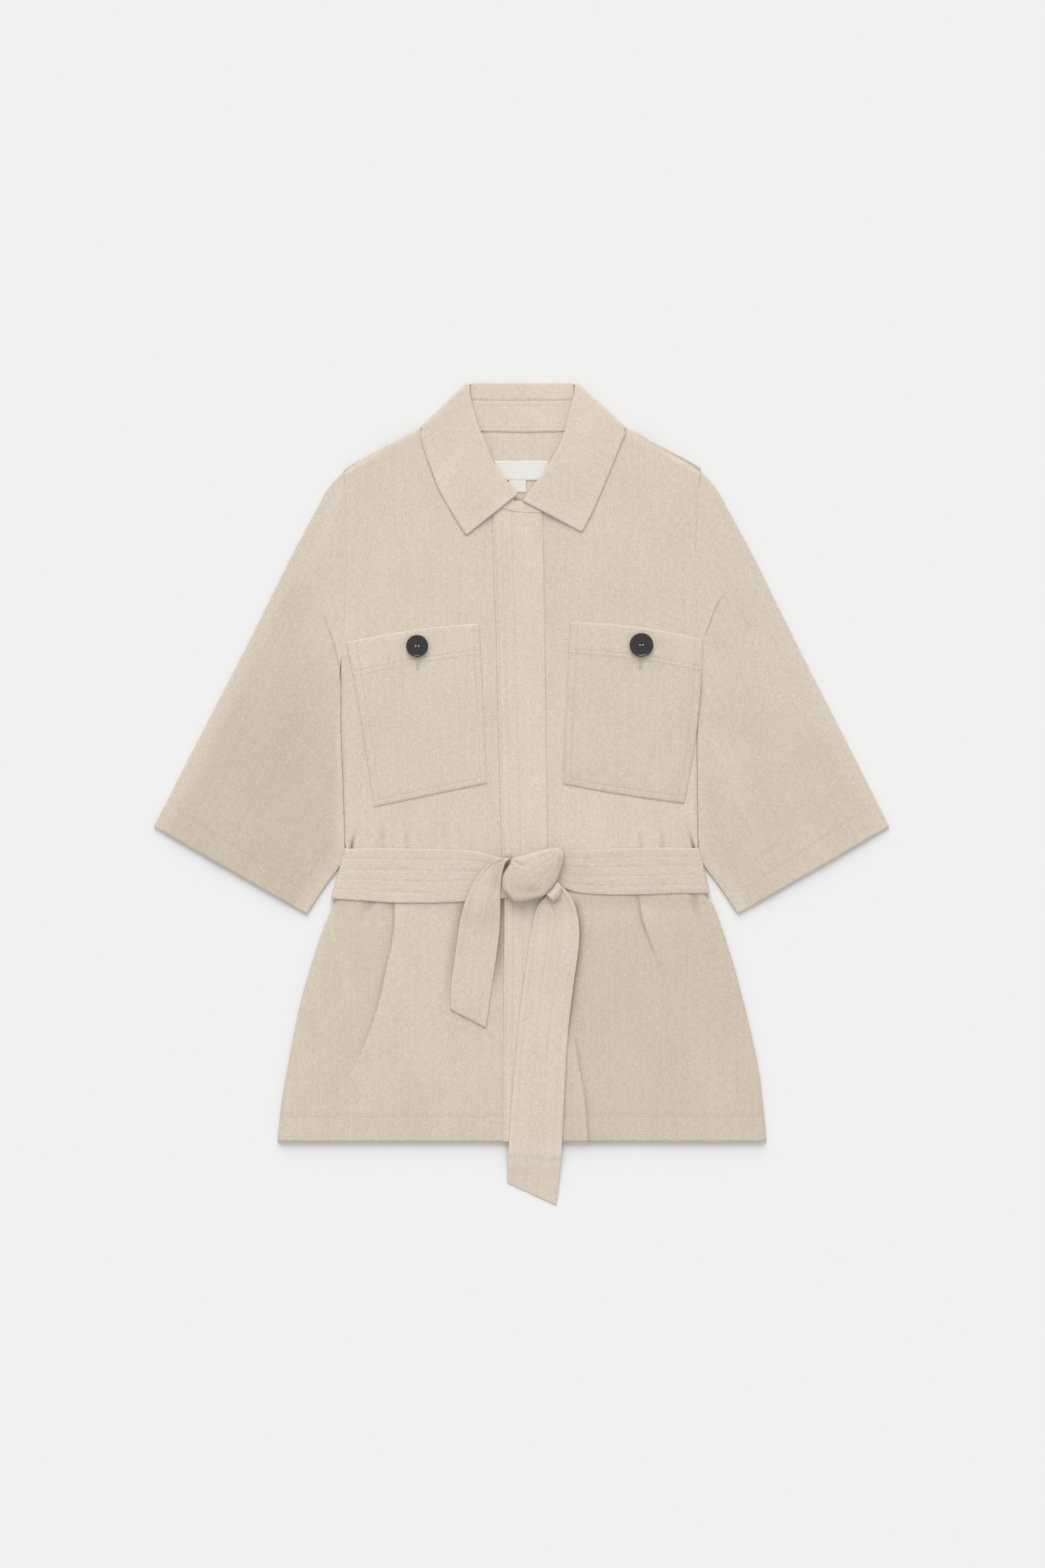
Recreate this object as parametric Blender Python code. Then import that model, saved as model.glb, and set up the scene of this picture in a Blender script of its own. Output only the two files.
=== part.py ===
"""Belted safari jacket in beige linen, lying flat on its back.

X runs across the jacket, Y from hem to collar, Z up from the surface it lies on. The origin is
at the middle of the jacket on that surface. Right and left are the wearer's, so right is at -X.
Sizes and places are in millimetres, and the meshes are written in metres.
"""

import math
from collections import namedtuple

import bmesh
import bpy
from mathutils import Vector

MM = 0.001

# Cloth and the heights of its layers, measured at the middle of each wall
CLOTH = 1.1
HALF = CLOTH / 2
SEAM = 0.3
LAP = CLOTH + SEAM
GROUND = HALF
BACK_LIFT = 1.6
FRONT = 4.2
ON_FRONT = FRONT + LAP
ON_PLACKET = ON_FRONT + LAP
ON_BELT = ON_PLACKET + LAP
UP = Vector((0.0, 0.0, 1.0))

# Body: places of its edges, from the shoulder point down to the hem
HEM_Y = -329.7
UNDERARM_Y = 117.5
YOKE_Y = 230.0
BELT_ZONE = (-107.0, -46.0)
BELT_RAMP = 9.0
NECK_ZONE_X = 108.0
NECK_RAMP = 14.0

BodyEdge = namedtuple("BodyEdge", "y right_x left_x")
BODY_EDGES = [
    BodyEdge(305.5, -168.5, 169.5),
    BodyEdge(279.0, -167.0, 167.0),
    BodyEdge(209.5, -167.0, 165.0),
    BodyEdge(150.0, -169.5, 167.0),
    BodyEdge(117.5, -171.0, 166.5),
    BodyEdge(57.5, -171.0, 166.0),
    BodyEdge(7.0, -169.0, 166.5),
    BodyEdge(-44.0, -167.5, 167.0),
    BodyEdge(-53.0, -162.5, 163.5),
    BodyEdge(-96.0, -175.0, 174.5),
    BodyEdge(-104.0, -177.5, 181.0),
    BodyEdge(-128.0, -188.0, 190.0),
    BodyEdge(-166.0, -200.5, 202.0),
    BodyEdge(-204.0, -211.0, 212.0),
    BodyEdge(-255.0, -221.0, 223.5),
    BodyEdge(-293.0, -227.5, 228.5),
    BodyEdge(-330.0, -231.5, 232.0),
]

ShoulderPoint = namedtuple("ShoulderPoint", "right_x left_x y")
SHOULDER = [
    ShoulderPoint(-168.5, 169.5, 305.5),
    ShoulderPoint(-155.5, 156.0, 314.8),
    ShoulderPoint(-126.5, 128.0, 330.0),
    ShoulderPoint(-96.5, 99.0, 345.5),
    ShoulderPoint(-67.7, 68.0, 355.0),
]

# Placket: its two edges, and how far the panels reach under it
PlacketEdge = namedtuple("PlacketEdge", "y right_x left_x")
PLACKET_EDGES = [
    PlacketEdge(267.8, -26.3, 19.6),
    PlacketEdge(247.5, -27.0, 20.0),
    PlacketEdge(120.0, -23.0, 22.0),
    PlacketEdge(-37.5, -19.0, 24.0),
    PlacketEdge(-100.0, -16.2, 25.0),
    PlacketEdge(-220.0, -17.0, 24.5),
    PlacketEdge(-330.0, -17.5, 24.0),
]
RIGHT_FRONT_UNDER = 8.0
LEFT_FRONT_UNDER = 14.0

# Soft folds of the front panels: a quadratic path, a ridge on one side and a dip on the other
Fold = namedtuple("Fold", "x0 y0 x1 y1 x2 y2 width rise dip")
FOLDS_RIGHT = [
    Fold(-121.0, -96.0, -122.0, -200.0, -190.0, -300.0, 17.0, 1.3, 1.9),
    Fold(-144.0, -98.0, -150.0, -120.0, -160.0, -145.0, 11.0, 0.8, 1.3),
    Fold(-160.0, -52.0, -162.0, -35.0, -164.0, -18.0, 8.0, 0.7, 1.3),
    Fold(-132.0, -54.0, -132.5, -38.0, -133.0, -22.0, 9.0, 0.8, 1.2),
    Fold(-109.0, -54.0, -109.0, -42.0, -110.0, -30.0, 9.0, 0.6, 1.0),
]
FOLDS_LEFT = [
    Fold(110.5, -92.0, 113.0, -140.0, 137.0, -185.0, 13.0, 1.2, 1.8),
    Fold(163.0, -92.0, 165.0, -115.0, 170.0, -140.0, 11.0, 0.8, 1.3),
    Fold(50.0, -205.0, 56.0, -262.0, 64.0, -330.0, 12.0, 1.2, 1.2),
    Fold(158.0, -52.0, 160.0, -36.0, 161.0, -20.0, 8.0, 0.7, 1.3),
    Fold(133.0, -54.0, 133.0, -42.0, 132.0, -28.0, 9.0, 0.6, 1.0),
    Fold(112.0, -54.0, 112.0, -42.0, 111.0, -32.0, 9.0, 0.6, 1.0),
]
EDGE_ROLL = 6.0

# Sleeves: the upper edge from shoulder to cuff, and the free part of the lower edge
EdgePoint = namedtuple("EdgePoint", "x y")
SLEEVE_TOP_RIGHT = [
    EdgePoint(-170.2, 304.2),
    EdgePoint(-178.5, 296.5),
    EdgePoint(-185.5, 287.0),
    EdgePoint(-191.5, 276.0),
    EdgePoint(-220.0, 222.0),
    EdgePoint(-262.0, 138.0),
    EdgePoint(-305.5, 54.0),
    EdgePoint(-349.0, -31.0),
]
SLEEVE_TOP_LEFT = [
    EdgePoint(171.2, 304.2),
    EdgePoint(180.0, 295.5),
    EdgePoint(188.0, 284.0),
    EdgePoint(194.0, 273.0),
    EdgePoint(221.5, 222.0),
    EdgePoint(263.0, 138.0),
    EdgePoint(306.0, 54.0),
    EdgePoint(349.0, -31.0),
]
SLEEVE_LOWER_RIGHT = [
    EdgePoint(-174.5, -64.0),
    EdgePoint(-188.5, -88.0),
    EdgePoint(-203.5, -114.0),
]
SLEEVE_LOWER_LEFT = [
    EdgePoint(175.5, -68.0),
    EdgePoint(189.5, -90.0),
    EdgePoint(205.0, -114.0),
]
SLEEVE_BODY_GAP = 1.0
ARMHOLE_GAP = 0.9
SLEEVE_FOLD_RADIUS = 0.95
SLEEVE_RINGS = 12
CREASE_RIGHT = Fold(-205.0, 205.0, -192.0, 160.0, -177.0, 112.0, 12.0, 0.5, 1.1)
CREASE_LEFT = Fold(203.0, 205.0, 190.0, 176.0, 177.0, 120.0, 12.0, 0.5, 1.1)

# Collar: each row is a section from the neck seam over the roll line to the free edge
# low is the height of the cloth under the leaf, and high that of the leaf beside the roll
CollarRow = namedtuple(
    "CollarRow", "roll_x roll_y fall_x fall_y neck_x neck_y outer_x outer_y low high"
)
COLLAR_RIGHT = [
    CollarRow(-3.5, 284.5, -9.0, 278.8, -18.3, 271.8, -52.5, 245.5, 5.6, 7.9),
    CollarRow(-13.0, 296.0, -19.0, 290.5, -33.5, 283.0, -59.5, 256.0, 5.5, 7.8),
    CollarRow(-26.0, 313.0, -33.0, 308.5, -49.0, 300.0, -66.5, 267.5, 5.35, 7.65),
    CollarRow(-34.5, 334.5, -42.0, 331.5, -59.5, 323.0, -78.5, 289.0, 5.2, 7.5),
    CollarRow(-40.5, 348.0, -48.0, 346.0, -63.5, 338.0, -87.0, 311.5, 5.1, 7.4),
    CollarRow(-45.5, 364.5, -52.0, 362.0, -65.5, 348.0, -93.0, 328.5, 5.0, 7.3),
    CollarRow(-49.0, 378.0, -53.5, 370.0, -66.0, 352.0, -96.0, 341.5, 4.85, 7.15),
]
COLLAR_LEFT = [
    CollarRow(0.5, 278.0, 7.5, 274.8, 16.5, 270.8, 57.0, 248.5, 4.1, 7.3),
    CollarRow(11.5, 293.0, 18.0, 288.0, 32.5, 281.5, 65.5, 264.0, 4.95, 7.25),
    CollarRow(20.5, 304.5, 27.5, 300.0, 45.0, 293.0, 73.0, 280.5, 5.2, 7.5),
    CollarRow(30.0, 320.5, 37.5, 316.5, 56.0, 308.0, 79.0, 295.0, 5.15, 7.45),
    CollarRow(38.5, 338.5, 46.0, 336.0, 62.5, 328.0, 86.0, 312.0, 5.1, 7.4),
    CollarRow(44.5, 360.5, 51.5, 357.5, 65.5, 345.0, 93.5, 330.5, 5.0, 7.3),
    CollarRow(49.8, 380.0, 54.0, 372.0, 66.5, 352.0, 98.5, 341.5, 4.85, 7.15),
]
COLLAR_BACK = [
    CollarRow(-45.0, 390.4, -49.5, 373.0, -60.0, 349.0, -86.0, 337.0, 2.85, 0.55),
    CollarRow(-38.0, 390.5, -39.0, 372.7, -42.0, 345.2, -66.0, 334.0, 2.85, 0.55),
    CollarRow(-20.0, 390.5, -20.5, 372.5, -21.0, 344.7, -34.0, 331.0, 2.85, 0.55),
    CollarRow(0.0, 390.5, 0.0, 372.5, 0.0, 344.3, 0.0, 330.0, 2.85, 0.55),
    CollarRow(20.5, 390.5, 21.0, 372.5, 21.0, 344.7, 34.0, 331.0, 2.85, 0.55),
    CollarRow(39.0, 390.5, 40.0, 372.7, 42.0, 345.2, 67.0, 334.0, 2.85, 0.55),
    CollarRow(46.0, 390.4, 50.5, 373.0, 60.5, 349.0, 88.0, 337.0, 2.85, 0.55),
]
# The side folds, where the collar passes from the front to behind the neck
COLLAR_SIDE_RIGHT = CollarRow(-52.0, 390.2, -54.8, 375.0, -66.8, 354.6, -96.3, 348.0, 0, 0)
COLLAR_SIDE_LEFT = CollarRow(53.2, 390.2, 55.8, 375.0, 67.2, 354.6, 99.3, 347.5, 0, 0)
SIDE_CENTRE_Z = 3.85
STAND_FOLD_RADIUS = 1.0
ROLL_RADIUS = 1.15
FALL_FOLD_RADIUS = STAND_FOLD_RADIUS + 2 * ROLL_RADIUS
OUTER_CENTRE_Z = (ON_FRONT + GROUND) / 2
OUTER_FOLD_RADIUS = (ON_FRONT - GROUND) / 2
NECK_CENTRE_Z = 3.2
NECK_FOLD_RADIUS = 1.05
NECK_GAP = 0.9

# The end of the stand that shows above the placket, from its tip inwards
StandEnd = namedtuple("StandEnd", "seam_x seam_y top_x top_y height")
STAND_END = [
    StandEnd(19.2, 268.2, 19.4, 269.6, 5.6),
    StandEnd(11.0, 268.2, 11.5, 273.8, 5.6),
    StandEnd(1.5, 268.3, 2.5, 276.6, 5.6),
    StandEnd(-8.0, 269.2, -6.8, 277.4, 5.6),
]

# Pockets: corners and the middles of their edges
Pocket = namedtuple("Pocket", "place x y")
POCKET_RIGHT = [
    Pocket("top side corner", -166.0, 144.0),
    Pocket("top middle", -96.0, 156.3),
    Pocket("top centre corner", -41.0, 161.0),
    Pocket("centre middle", -36.6, 87.0),
    Pocket("bottom centre corner", -33.0, 10.0),
    Pocket("bottom middle", -87.0, -1.2),
    Pocket("bottom side corner", -140.0, -12.5),
    Pocket("side middle", -151.5, 63.0),
]
POCKET_LEFT = [
    Pocket("top side corner", 171.5, 146.5),
    Pocket("top middle", 108.5, 158.5),
    Pocket("top centre corner", 46.5, 163.0),
    Pocket("centre middle", 42.3, 87.0),
    Pocket("bottom centre corner", 39.0, 9.5),
    Pocket("bottom middle", 98.0, -1.2),
    Pocket("bottom side corner", 154.0, -9.0),
    Pocket("side middle", 167.0, 70.0),
]
POCKET_BAND = 0.195
BAND_RISE = 0.7

# Buttons: place and diameter, then their turned section
Button = namedtuple("Button", "name x y diameter")
BUTTONS = [
    Button("button_right", -99.0, 140.0, 20.8),
    Button("button_left", 113.5, 141.0, 22.4),
]
ButtonRing = namedtuple("ButtonRing", "radius height")
BUTTON_SECTION = [
    ButtonRing(0.80, 0.0),
    ButtonRing(0.95, 0.6),
    ButtonRing(1.00, 1.5),
    ButtonRing(0.97, 2.3),
    ButtonRing(0.90, 2.6),
    ButtonRing(0.84, 2.5),
    ButtonRing(0.80, 2.0),
    ButtonRing(0.55, 1.85),
    ButtonRing(0.28, 1.8),
]
BUTTON_SIDES = 24
BUTTON_HOLE_RADIUS = 0.85
BUTTON_HOLE_OFFSET = 1.55

# Belt: sections from the knot outwards on each side, then the line of each side fold
BeltRow = namedtuple("BeltRow", "top_x top_y low_x low_y height")
BELT_RIGHT = [
    BeltRow(-6.0, -64.0, -6.0, -97.0, ON_PLACKET),
    BeltRow(-23.0, -60.0, -23.0, -99.5, ON_PLACKET),
    BeltRow(-36.0, -56.0, -38.0, -101.3, ON_FRONT),
    BeltRow(-50.0, -53.8, -56.0, -102.2, ON_FRONT),
    BeltRow(-80.0, -52.6, -86.0, -103.2, ON_FRONT),
    BeltRow(-110.0, -52.0, -120.0, -103.0, ON_FRONT),
    BeltRow(-140.0, -51.7, -152.0, -101.0, ON_FRONT),
]
BELT_LEFT = [
    BeltRow(20.0, -60.0, 20.0, -83.0, ON_PLACKET),
    BeltRow(31.0, -55.5, 30.0, -85.5, ON_PLACKET),
    BeltRow(44.0, -54.0, 43.0, -90.5, ON_FRONT),
    BeltRow(60.0, -53.6, 58.0, -94.0, ON_FRONT),
    BeltRow(85.0, -52.2, 85.0, -95.5, ON_FRONT),
    BeltRow(113.0, -51.5, 115.0, -95.3, ON_FRONT),
    BeltRow(142.0, -51.2, 148.0, -94.2, ON_FRONT),
]
BELT_SIDE_RIGHT = BeltRow(-165.5, -51.5, -181.0, -98.5, 0)
BELT_SIDE_LEFT = BeltRow(167.0, -51.0, 178.5, -93.5, 0)
BELT_FOLD_RADIUS = (ON_FRONT - GROUND) / 2
BELT_FOLD_Z = (ON_FRONT + GROUND) / 2
BELT_BACK_X = (-110.0, -55.0, 0.0, 55.0, 110.0)

# Belt ends: sections from the knot to the free end
TailRow = namedtuple("TailRow", "left_x left_y right_x right_y height")
TAIL_SHORT = [
    TailRow(-25.0, -62.5, -15.0, -62.0, 12.0),
    TailRow(-39.0, -75.0, -18.8, -74.0, 10.4),
    TailRow(-47.0, -87.0, -19.8, -86.0, 9.2),
    TailRow(-53.0, -101.0, -20.3, -99.0, ON_BELT),
    TailRow(-56.0, -111.0, -20.4, -110.0, 7.4),
    TailRow(-59.5, -127.0, -21.0, -126.0, 5.8),
    TailRow(-62.5, -150.0, -23.5, -149.0, ON_FRONT),
    TailRow(-66.5, -180.0, -28.3, -182.0, ON_FRONT),
    TailRow(-67.5, -204.0, -34.0, -221.5, ON_FRONT),
]
TAIL_LONG = [
    TailRow(20.8, -99.6, 34.6, -84.8, 9.6),
    TailRow(15.0, -107.0, 42.0, -91.8, 8.7),
    TailRow(11.5, -118.0, 49.0, -102.5, 7.4),
    TailRow(9.0, -130.0, 53.5, -120.0, ON_PLACKET),
    TailRow(6.2, -148.0, 54.0, -144.0, ON_PLACKET),
    TailRow(1.0, -186.5, 48.3, -186.0, ON_PLACKET),
    TailRow(-4.0, -232.0, 43.2, -232.0, ON_PLACKET),
    TailRow(-8.5, -283.0, 40.4, -283.0, ON_PLACKET),
    TailRow(-12.0, -331.5, 38.0, -331.5, ON_PLACKET),
    TailRow(-12.8, -348.0, 36.6, -351.0, 3.4),
    TailRow(-13.3, -360.0, 35.2, -369.0, 1.0),
    TailRow(-13.5, -369.0, 33.0, -390.5, GROUND),
]

# Knot: its outline seen from above, its height and the crossing folds
KNOT_OUTLINE = [
    EdgePoint(-7.5, -62.5),
    EdgePoint(4.0, -56.8),
    EdgePoint(20.0, -51.8),
    EdgePoint(33.0, -49.5),
    EdgePoint(40.8, -54.0),
    EdgePoint(39.0, -69.0),
    EdgePoint(33.0, -83.0),
    EdgePoint(20.0, -97.8),
    EdgePoint(5.0, -101.8),
    EdgePoint(-8.0, -102.8),
    EdgePoint(-16.5, -90.0),
    EdgePoint(-14.5, -75.0),
]
KNOT_BASE = ON_PLACKET + HALF + SEAM
KNOT_EDGE_Z = 12.5
KNOT_TOP = 20.5
KNOT_RINGS = (1.0, 0.93, 0.8, 0.6, 0.35)
KNOT_FOLDS = [
    Fold(36.0, -58.0, 8.0, -68.0, -12.0, -92.0, 5.0, 0.8, 1.6),
    Fold(26.0, -90.0, 4.0, -92.0, -13.0, -84.0, 5.0, 0.6, 1.4),
]

# Blank labels inside the neck
Label = namedtuple("Label", "name left right low top")
LABELS = [
    Label("neck_label", -26.0, 25.5, 297.5, 315.5),
    Label("care_label", -12.0, 4.0, 286.0, 297.2),
]
LABEL_HALF = 0.5

LINEN = (0.604, 0.521, 0.427, 1.0)
LINEN_SLEEVE = (0.565, 0.484, 0.396, 1.0)
LINEN_FACING = (0.633, 0.552, 0.464, 1.0)
LABEL_WHITE = (0.791, 0.783, 0.745, 1.0)
BUTTON_BLACK = (0.012, 0.012, 0.013, 1.0)


def clear_scene():
    for thing in list(bpy.data.objects):
        bpy.data.objects.remove(thing, do_unlink=True)


def material(name, colour, roughness):
    finish = bpy.data.materials.new(name)
    finish.use_nodes = True
    shader = finish.node_tree.nodes["Principled BSDF"]
    shader.inputs["Base Color"].default_value = colour
    shader.inputs["Roughness"].default_value = roughness
    shader.inputs["Metallic"].default_value = 0.0
    finish.diffuse_color = colour
    return finish


def lerp(a, b, t):
    return a + (b - a) * t


def smooth(t):
    t = min(1.0, max(0.0, t))
    return t * t * (3 - 2 * t)


def cubic(p0, p1, p2, p3, t):
    """Catmull-Rom value between p1 and p2."""
    a = 2 * p1
    b = p2 - p0
    c = 2 * p0 - 5 * p1 + 4 * p2 - p3
    d = 3 * p1 - p0 - 3 * p2 + p3
    return (a + b * t + c * t * t + d * t * t * t) / 2


def spline(rows, steps):
    """Rows of numbers, with steps - 1 smooth rows added between each pair."""
    last = len(rows) - 1
    result = []
    for index in range(last):
        around = [rows[max(0, index - 1)], rows[index], rows[index + 1], rows[min(last, index + 2)]]
        for step in range(steps):
            values = [cubic(*column, step / steps) for column in zip(*around)]
            result.append(type(rows[0])(*values))
    result.append(rows[last])
    return result


def look_up(rows, key, field, value):
    """Field at a value of the key, read along straight lines between rows."""
    ordered = sorted(rows, key=lambda row: getattr(row, key))
    if value <= getattr(ordered[0], key):
        return getattr(ordered[0], field)
    for lower, upper in zip(ordered, ordered[1:]):
        start = getattr(lower, key)
        end = getattr(upper, key)
        if value <= end:
            return lerp(getattr(lower, field), getattr(upper, field), (value - start) / (end - start))
    return getattr(ordered[-1], field)


def spaced(points, count):
    """Points at even distances along a path through the given plan points."""
    lengths = [0.0]
    for a, b in zip(points, points[1:]):
        lengths.append(lengths[-1] + (b - a).length)
    result = []
    segment = 0
    for index in range(count):
        target = lengths[-1] * index / (count - 1)
        while segment < len(points) - 2 and lengths[segment + 1] < target:
            segment += 1
        span = lengths[segment + 1] - lengths[segment]
        result.append(points[segment].lerp(points[segment + 1], (target - lengths[segment]) / span))
    return result


def flat(point):
    return Vector((point.x, point.y))


def across(path, index, outward):
    """Unit vector in plan, square to a path at a point and on the side of the outward vector."""
    ahead = path[min(len(path) - 1, index + 1)]
    behind = path[max(0, index - 1)]
    along = (ahead - behind).normalized()
    square = Vector((-along.y, along.x))
    return square if square.dot(outward) > 0 else -square


def normals_of(grid, ring):
    """Unit normals at the points of a grid, weighted by the faces around each point."""
    rows = len(grid)
    columns = len(grid[0])
    sums = [[Vector() for _ in range(columns)] for _ in range(rows)]
    for i in range(rows - 1):
        for j in range(columns if ring else columns - 1):
            k = (j + 1) % columns
            corners = ((i, j), (i + 1, j), (i + 1, k), (i, k))
            a, b, c, d = (grid[p][q] for p, q in corners)
            face = (c - a).cross(d - b)
            for p, q in corners:
                sums[p][q] += face
    return [[total.normalized() for total in row] for row in sums]


def solid(name, points, faces, finish, sharp=50.0):
    """Closed mesh in metres, with its faces pointing out."""
    mesh = bpy.data.meshes.new(name)
    mesh.from_pydata([tuple(point * MM) for point in points], [], faces)
    body = bmesh.new()
    body.from_mesh(mesh)
    bmesh.ops.recalc_face_normals(body, faces=body.faces)
    body.to_mesh(mesh)
    body.free()
    mesh.shade_smooth()
    mesh.set_sharp_from_angle(angle=math.radians(sharp))
    mesh.materials.append(finish)
    piece = bpy.data.objects.new(name, mesh)
    bpy.context.scene.collection.objects.link(piece)
    return piece


def wall(name, grid, finish, ring=False, half=HALF, raised=None):
    """Cloth wall on both sides of a grid of points; raised adds height on the upper side."""
    rows = len(grid)
    columns = len(grid[0])
    normals = normals_of(grid, ring)
    upward = 1 if ring or sum(n.z for row in normals for n in row) > 0 else -1
    outer = []
    inner = []
    for i in range(rows):
        for j in range(columns):
            step = normals[i][j] * (half * upward)
            extra = UP * raised[i] if raised else Vector()
            outer.append(grid[i][j] + step + extra)
            inner.append(grid[i][j] - step)
    shift = rows * columns
    faces = []
    spans = columns if ring else columns - 1
    for i in range(rows - 1):
        for j in range(spans):
            k = (j + 1) % columns
            quad = (i * columns + j, (i + 1) * columns + j, (i + 1) * columns + k, i * columns + k)
            faces.append(quad)
            faces.append(tuple(shift + corner for corner in reversed(quad)))
    for i in (0, rows - 1):
        for j in range(spans):
            a = i * columns + j
            b = i * columns + (j + 1) % columns
            faces.append((a, b, shift + b, shift + a))
    if not ring:
        for j in (0, columns - 1):
            for i in range(rows - 1):
                a = i * columns + j
                b = (i + 1) * columns + j
                faces.append((a, b, shift + b, shift + a))
    return solid(name, outer + inner, faces, finish)


def fold_relief(folds, x, y, calm):
    """Height that the folds add at a point; calm scales the ridges and not the dips."""
    total = 0.0
    here = Vector((x, y))
    samples = 12
    for fold in folds:
        start = Vector((fold.x0, fold.y0))
        bend = Vector((fold.x1, fold.y1))
        end = Vector((fold.x2, fold.y2))
        nearest = None
        for index in range(samples + 1):
            t = index / samples
            point = start * (1 - t) ** 2 + bend * (2 * t * (1 - t)) + end * t ** 2
            gap = (here - point).length
            if nearest is None or gap < nearest[0]:
                along = (bend - start).lerp(end - bend, t)
                nearest = (gap, t, point, along)
        _, t, point, along = nearest
        offset = here - point
        side = (along.x * offset.y - along.y * offset.x) / along.length
        ahead = offset.dot(along.normalized())
        reach = (ahead / fold.width) ** 2
        fade = math.exp(-reach) * (1 - smooth((t - 0.45) / 0.55))
        ridge = math.exp(-((side / fold.width - 0.7) / 0.6) ** 2)
        trough = math.exp(-((side / fold.width + 0.35) / 0.5) ** 2)
        total += fade * (fold.rise * calm * ridge - fold.dip * trough)
    return total


def side_x(side, y):
    return look_up(BODY_EDGES, "y", side + "_x", y)


def shoulder_y(side, x):
    return look_up(SHOULDER, side + "_x", "y", x)


def back_height(x, y, spread=0.0):
    """Middle of the back panel: on the ground, and raised over the belt and the collar."""
    over_belt = min(y - (BELT_ZONE[0] - BELT_RAMP), BELT_ZONE[1] + BELT_RAMP - y) / BELT_RAMP
    neck_y = (y - 268.0) / NECK_RAMP
    neck_x = (NECK_ZONE_X + spread + NECK_RAMP - abs(x)) / NECK_RAMP
    over_neck = min(neck_y, neck_x)
    return GROUND + BACK_LIFT * min(1.0, max(0.0, over_belt, over_neck))


def roll_down(distance):
    """How far an edge has rolled down, 1 at the edge and 0 where the panel lies level."""
    return max(0.0, 1 - distance / EDGE_ROLL) ** 2


def neck_line(rows, side_fold):
    """Neck seam in plan, from the shoulder to the front end of the stand."""
    points = [Vector((side_fold.neck_x, side_fold.neck_y))]
    points += [Vector((row.neck_x, row.neck_y)) for row in reversed(rows)]
    return points


def build_front(name, side, folds, rows_of_collar, side_fold, under, finish):
    sign = -1 if side == "right" else 1
    shoulder_columns = 6
    inset = (0.0, 2.5, 6.0)

    def centre_x(y):
        return look_up(PLACKET_EDGES, "y", "right_x", y) + under

    neck = neck_line(rows_of_collar, side_fold)
    moved = []
    for index, point in enumerate(neck):
        moved.append(point + across(neck, index, Vector((sign, -0.4))) * NECK_GAP)
    centre_top = min(267.0, moved[-1].y)
    last = Vector((centre_x(centre_top), centre_top))
    moved.append(last)
    corner_x = moved[0].x
    top = []
    for step in inset:
        x = side_x(side, 305.5) - sign * step
        top.append(Vector((x, shoulder_y(side, x))))
    for index in range(1, shoulder_columns):
        x = lerp(top[2].x, corner_x, index / shoulder_columns)
        top.append(Vector((x, shoulder_y(side, x))))
    top += moved
    columns = len(top)

    def row_at(y):
        edge = side_x(side, y)
        inner = edge - sign * inset[-1]
        xs = [edge - sign * step for step in inset]
        xs += [lerp(inner, centre_x(y), k / (columns - 3)) for k in range(1, columns - 2)]
        return [Vector((x, y)) for x in xs]

    yoke = row_at(YOKE_Y)
    plan = []
    for share in (1.0, None, None, 0.7, 0.45, 0.2):
        line = []
        for low, high in zip(yoke, top):
            if share is None:
                drop = inset[1] if len(plan) == 1 else inset[2]
                line.append(high + (low - high).normalized() * drop)
            else:
                line.append(low.lerp(high, share))
        for j, step in enumerate(inset):
            line[j].x = side_x(side, line[j].y) - sign * step
        plan.append(line)
    for y in (230.0, 190.0, 150.0, 117.5, 100.0, 65.0, 30.0, 0.0, -20.0, -33.0, -46.0, -54.0,
              -75.0, -96.0, -107.0, -118.0, -132.0, -148.0, -166.0, -186.0, -207.0, -230.0,
              -254.0, -279.0, -305.0, HEM_Y):
        plan.append(row_at(y))

    grid = []
    for line in plan:
        points = []
        for j, point in enumerate(line):
            calm = smooth(max(BELT_ZONE[0] - point.y, point.y - BELT_ZONE[1]) / 14.0)
            height = FRONT + fold_relief(folds, point.x, point.y, calm)
            level = back_height(point.x, point.y, 20.0) + LAP
            from_side = abs(point.x - side_x(side, point.y))
            below_arm = smooth((UNDERARM_Y - point.y) / 16.0)
            rolled = roll_down(from_side) * below_arm
            if j < len(inset) + shoulder_columns - 1:
                from_shoulder = abs(shoulder_y(side, point.x) - point.y)
                off_neck = smooth((abs(point.x) - 72.0) / 25.0)
                rolled = max(rolled, roll_down(from_shoulder) * off_neck)
            height = max(level, lerp(height, level, rolled))
            points.append(Vector((point.x, point.y, height)))
        grid.append(points)
    return wall(name, grid, finish)


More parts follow.
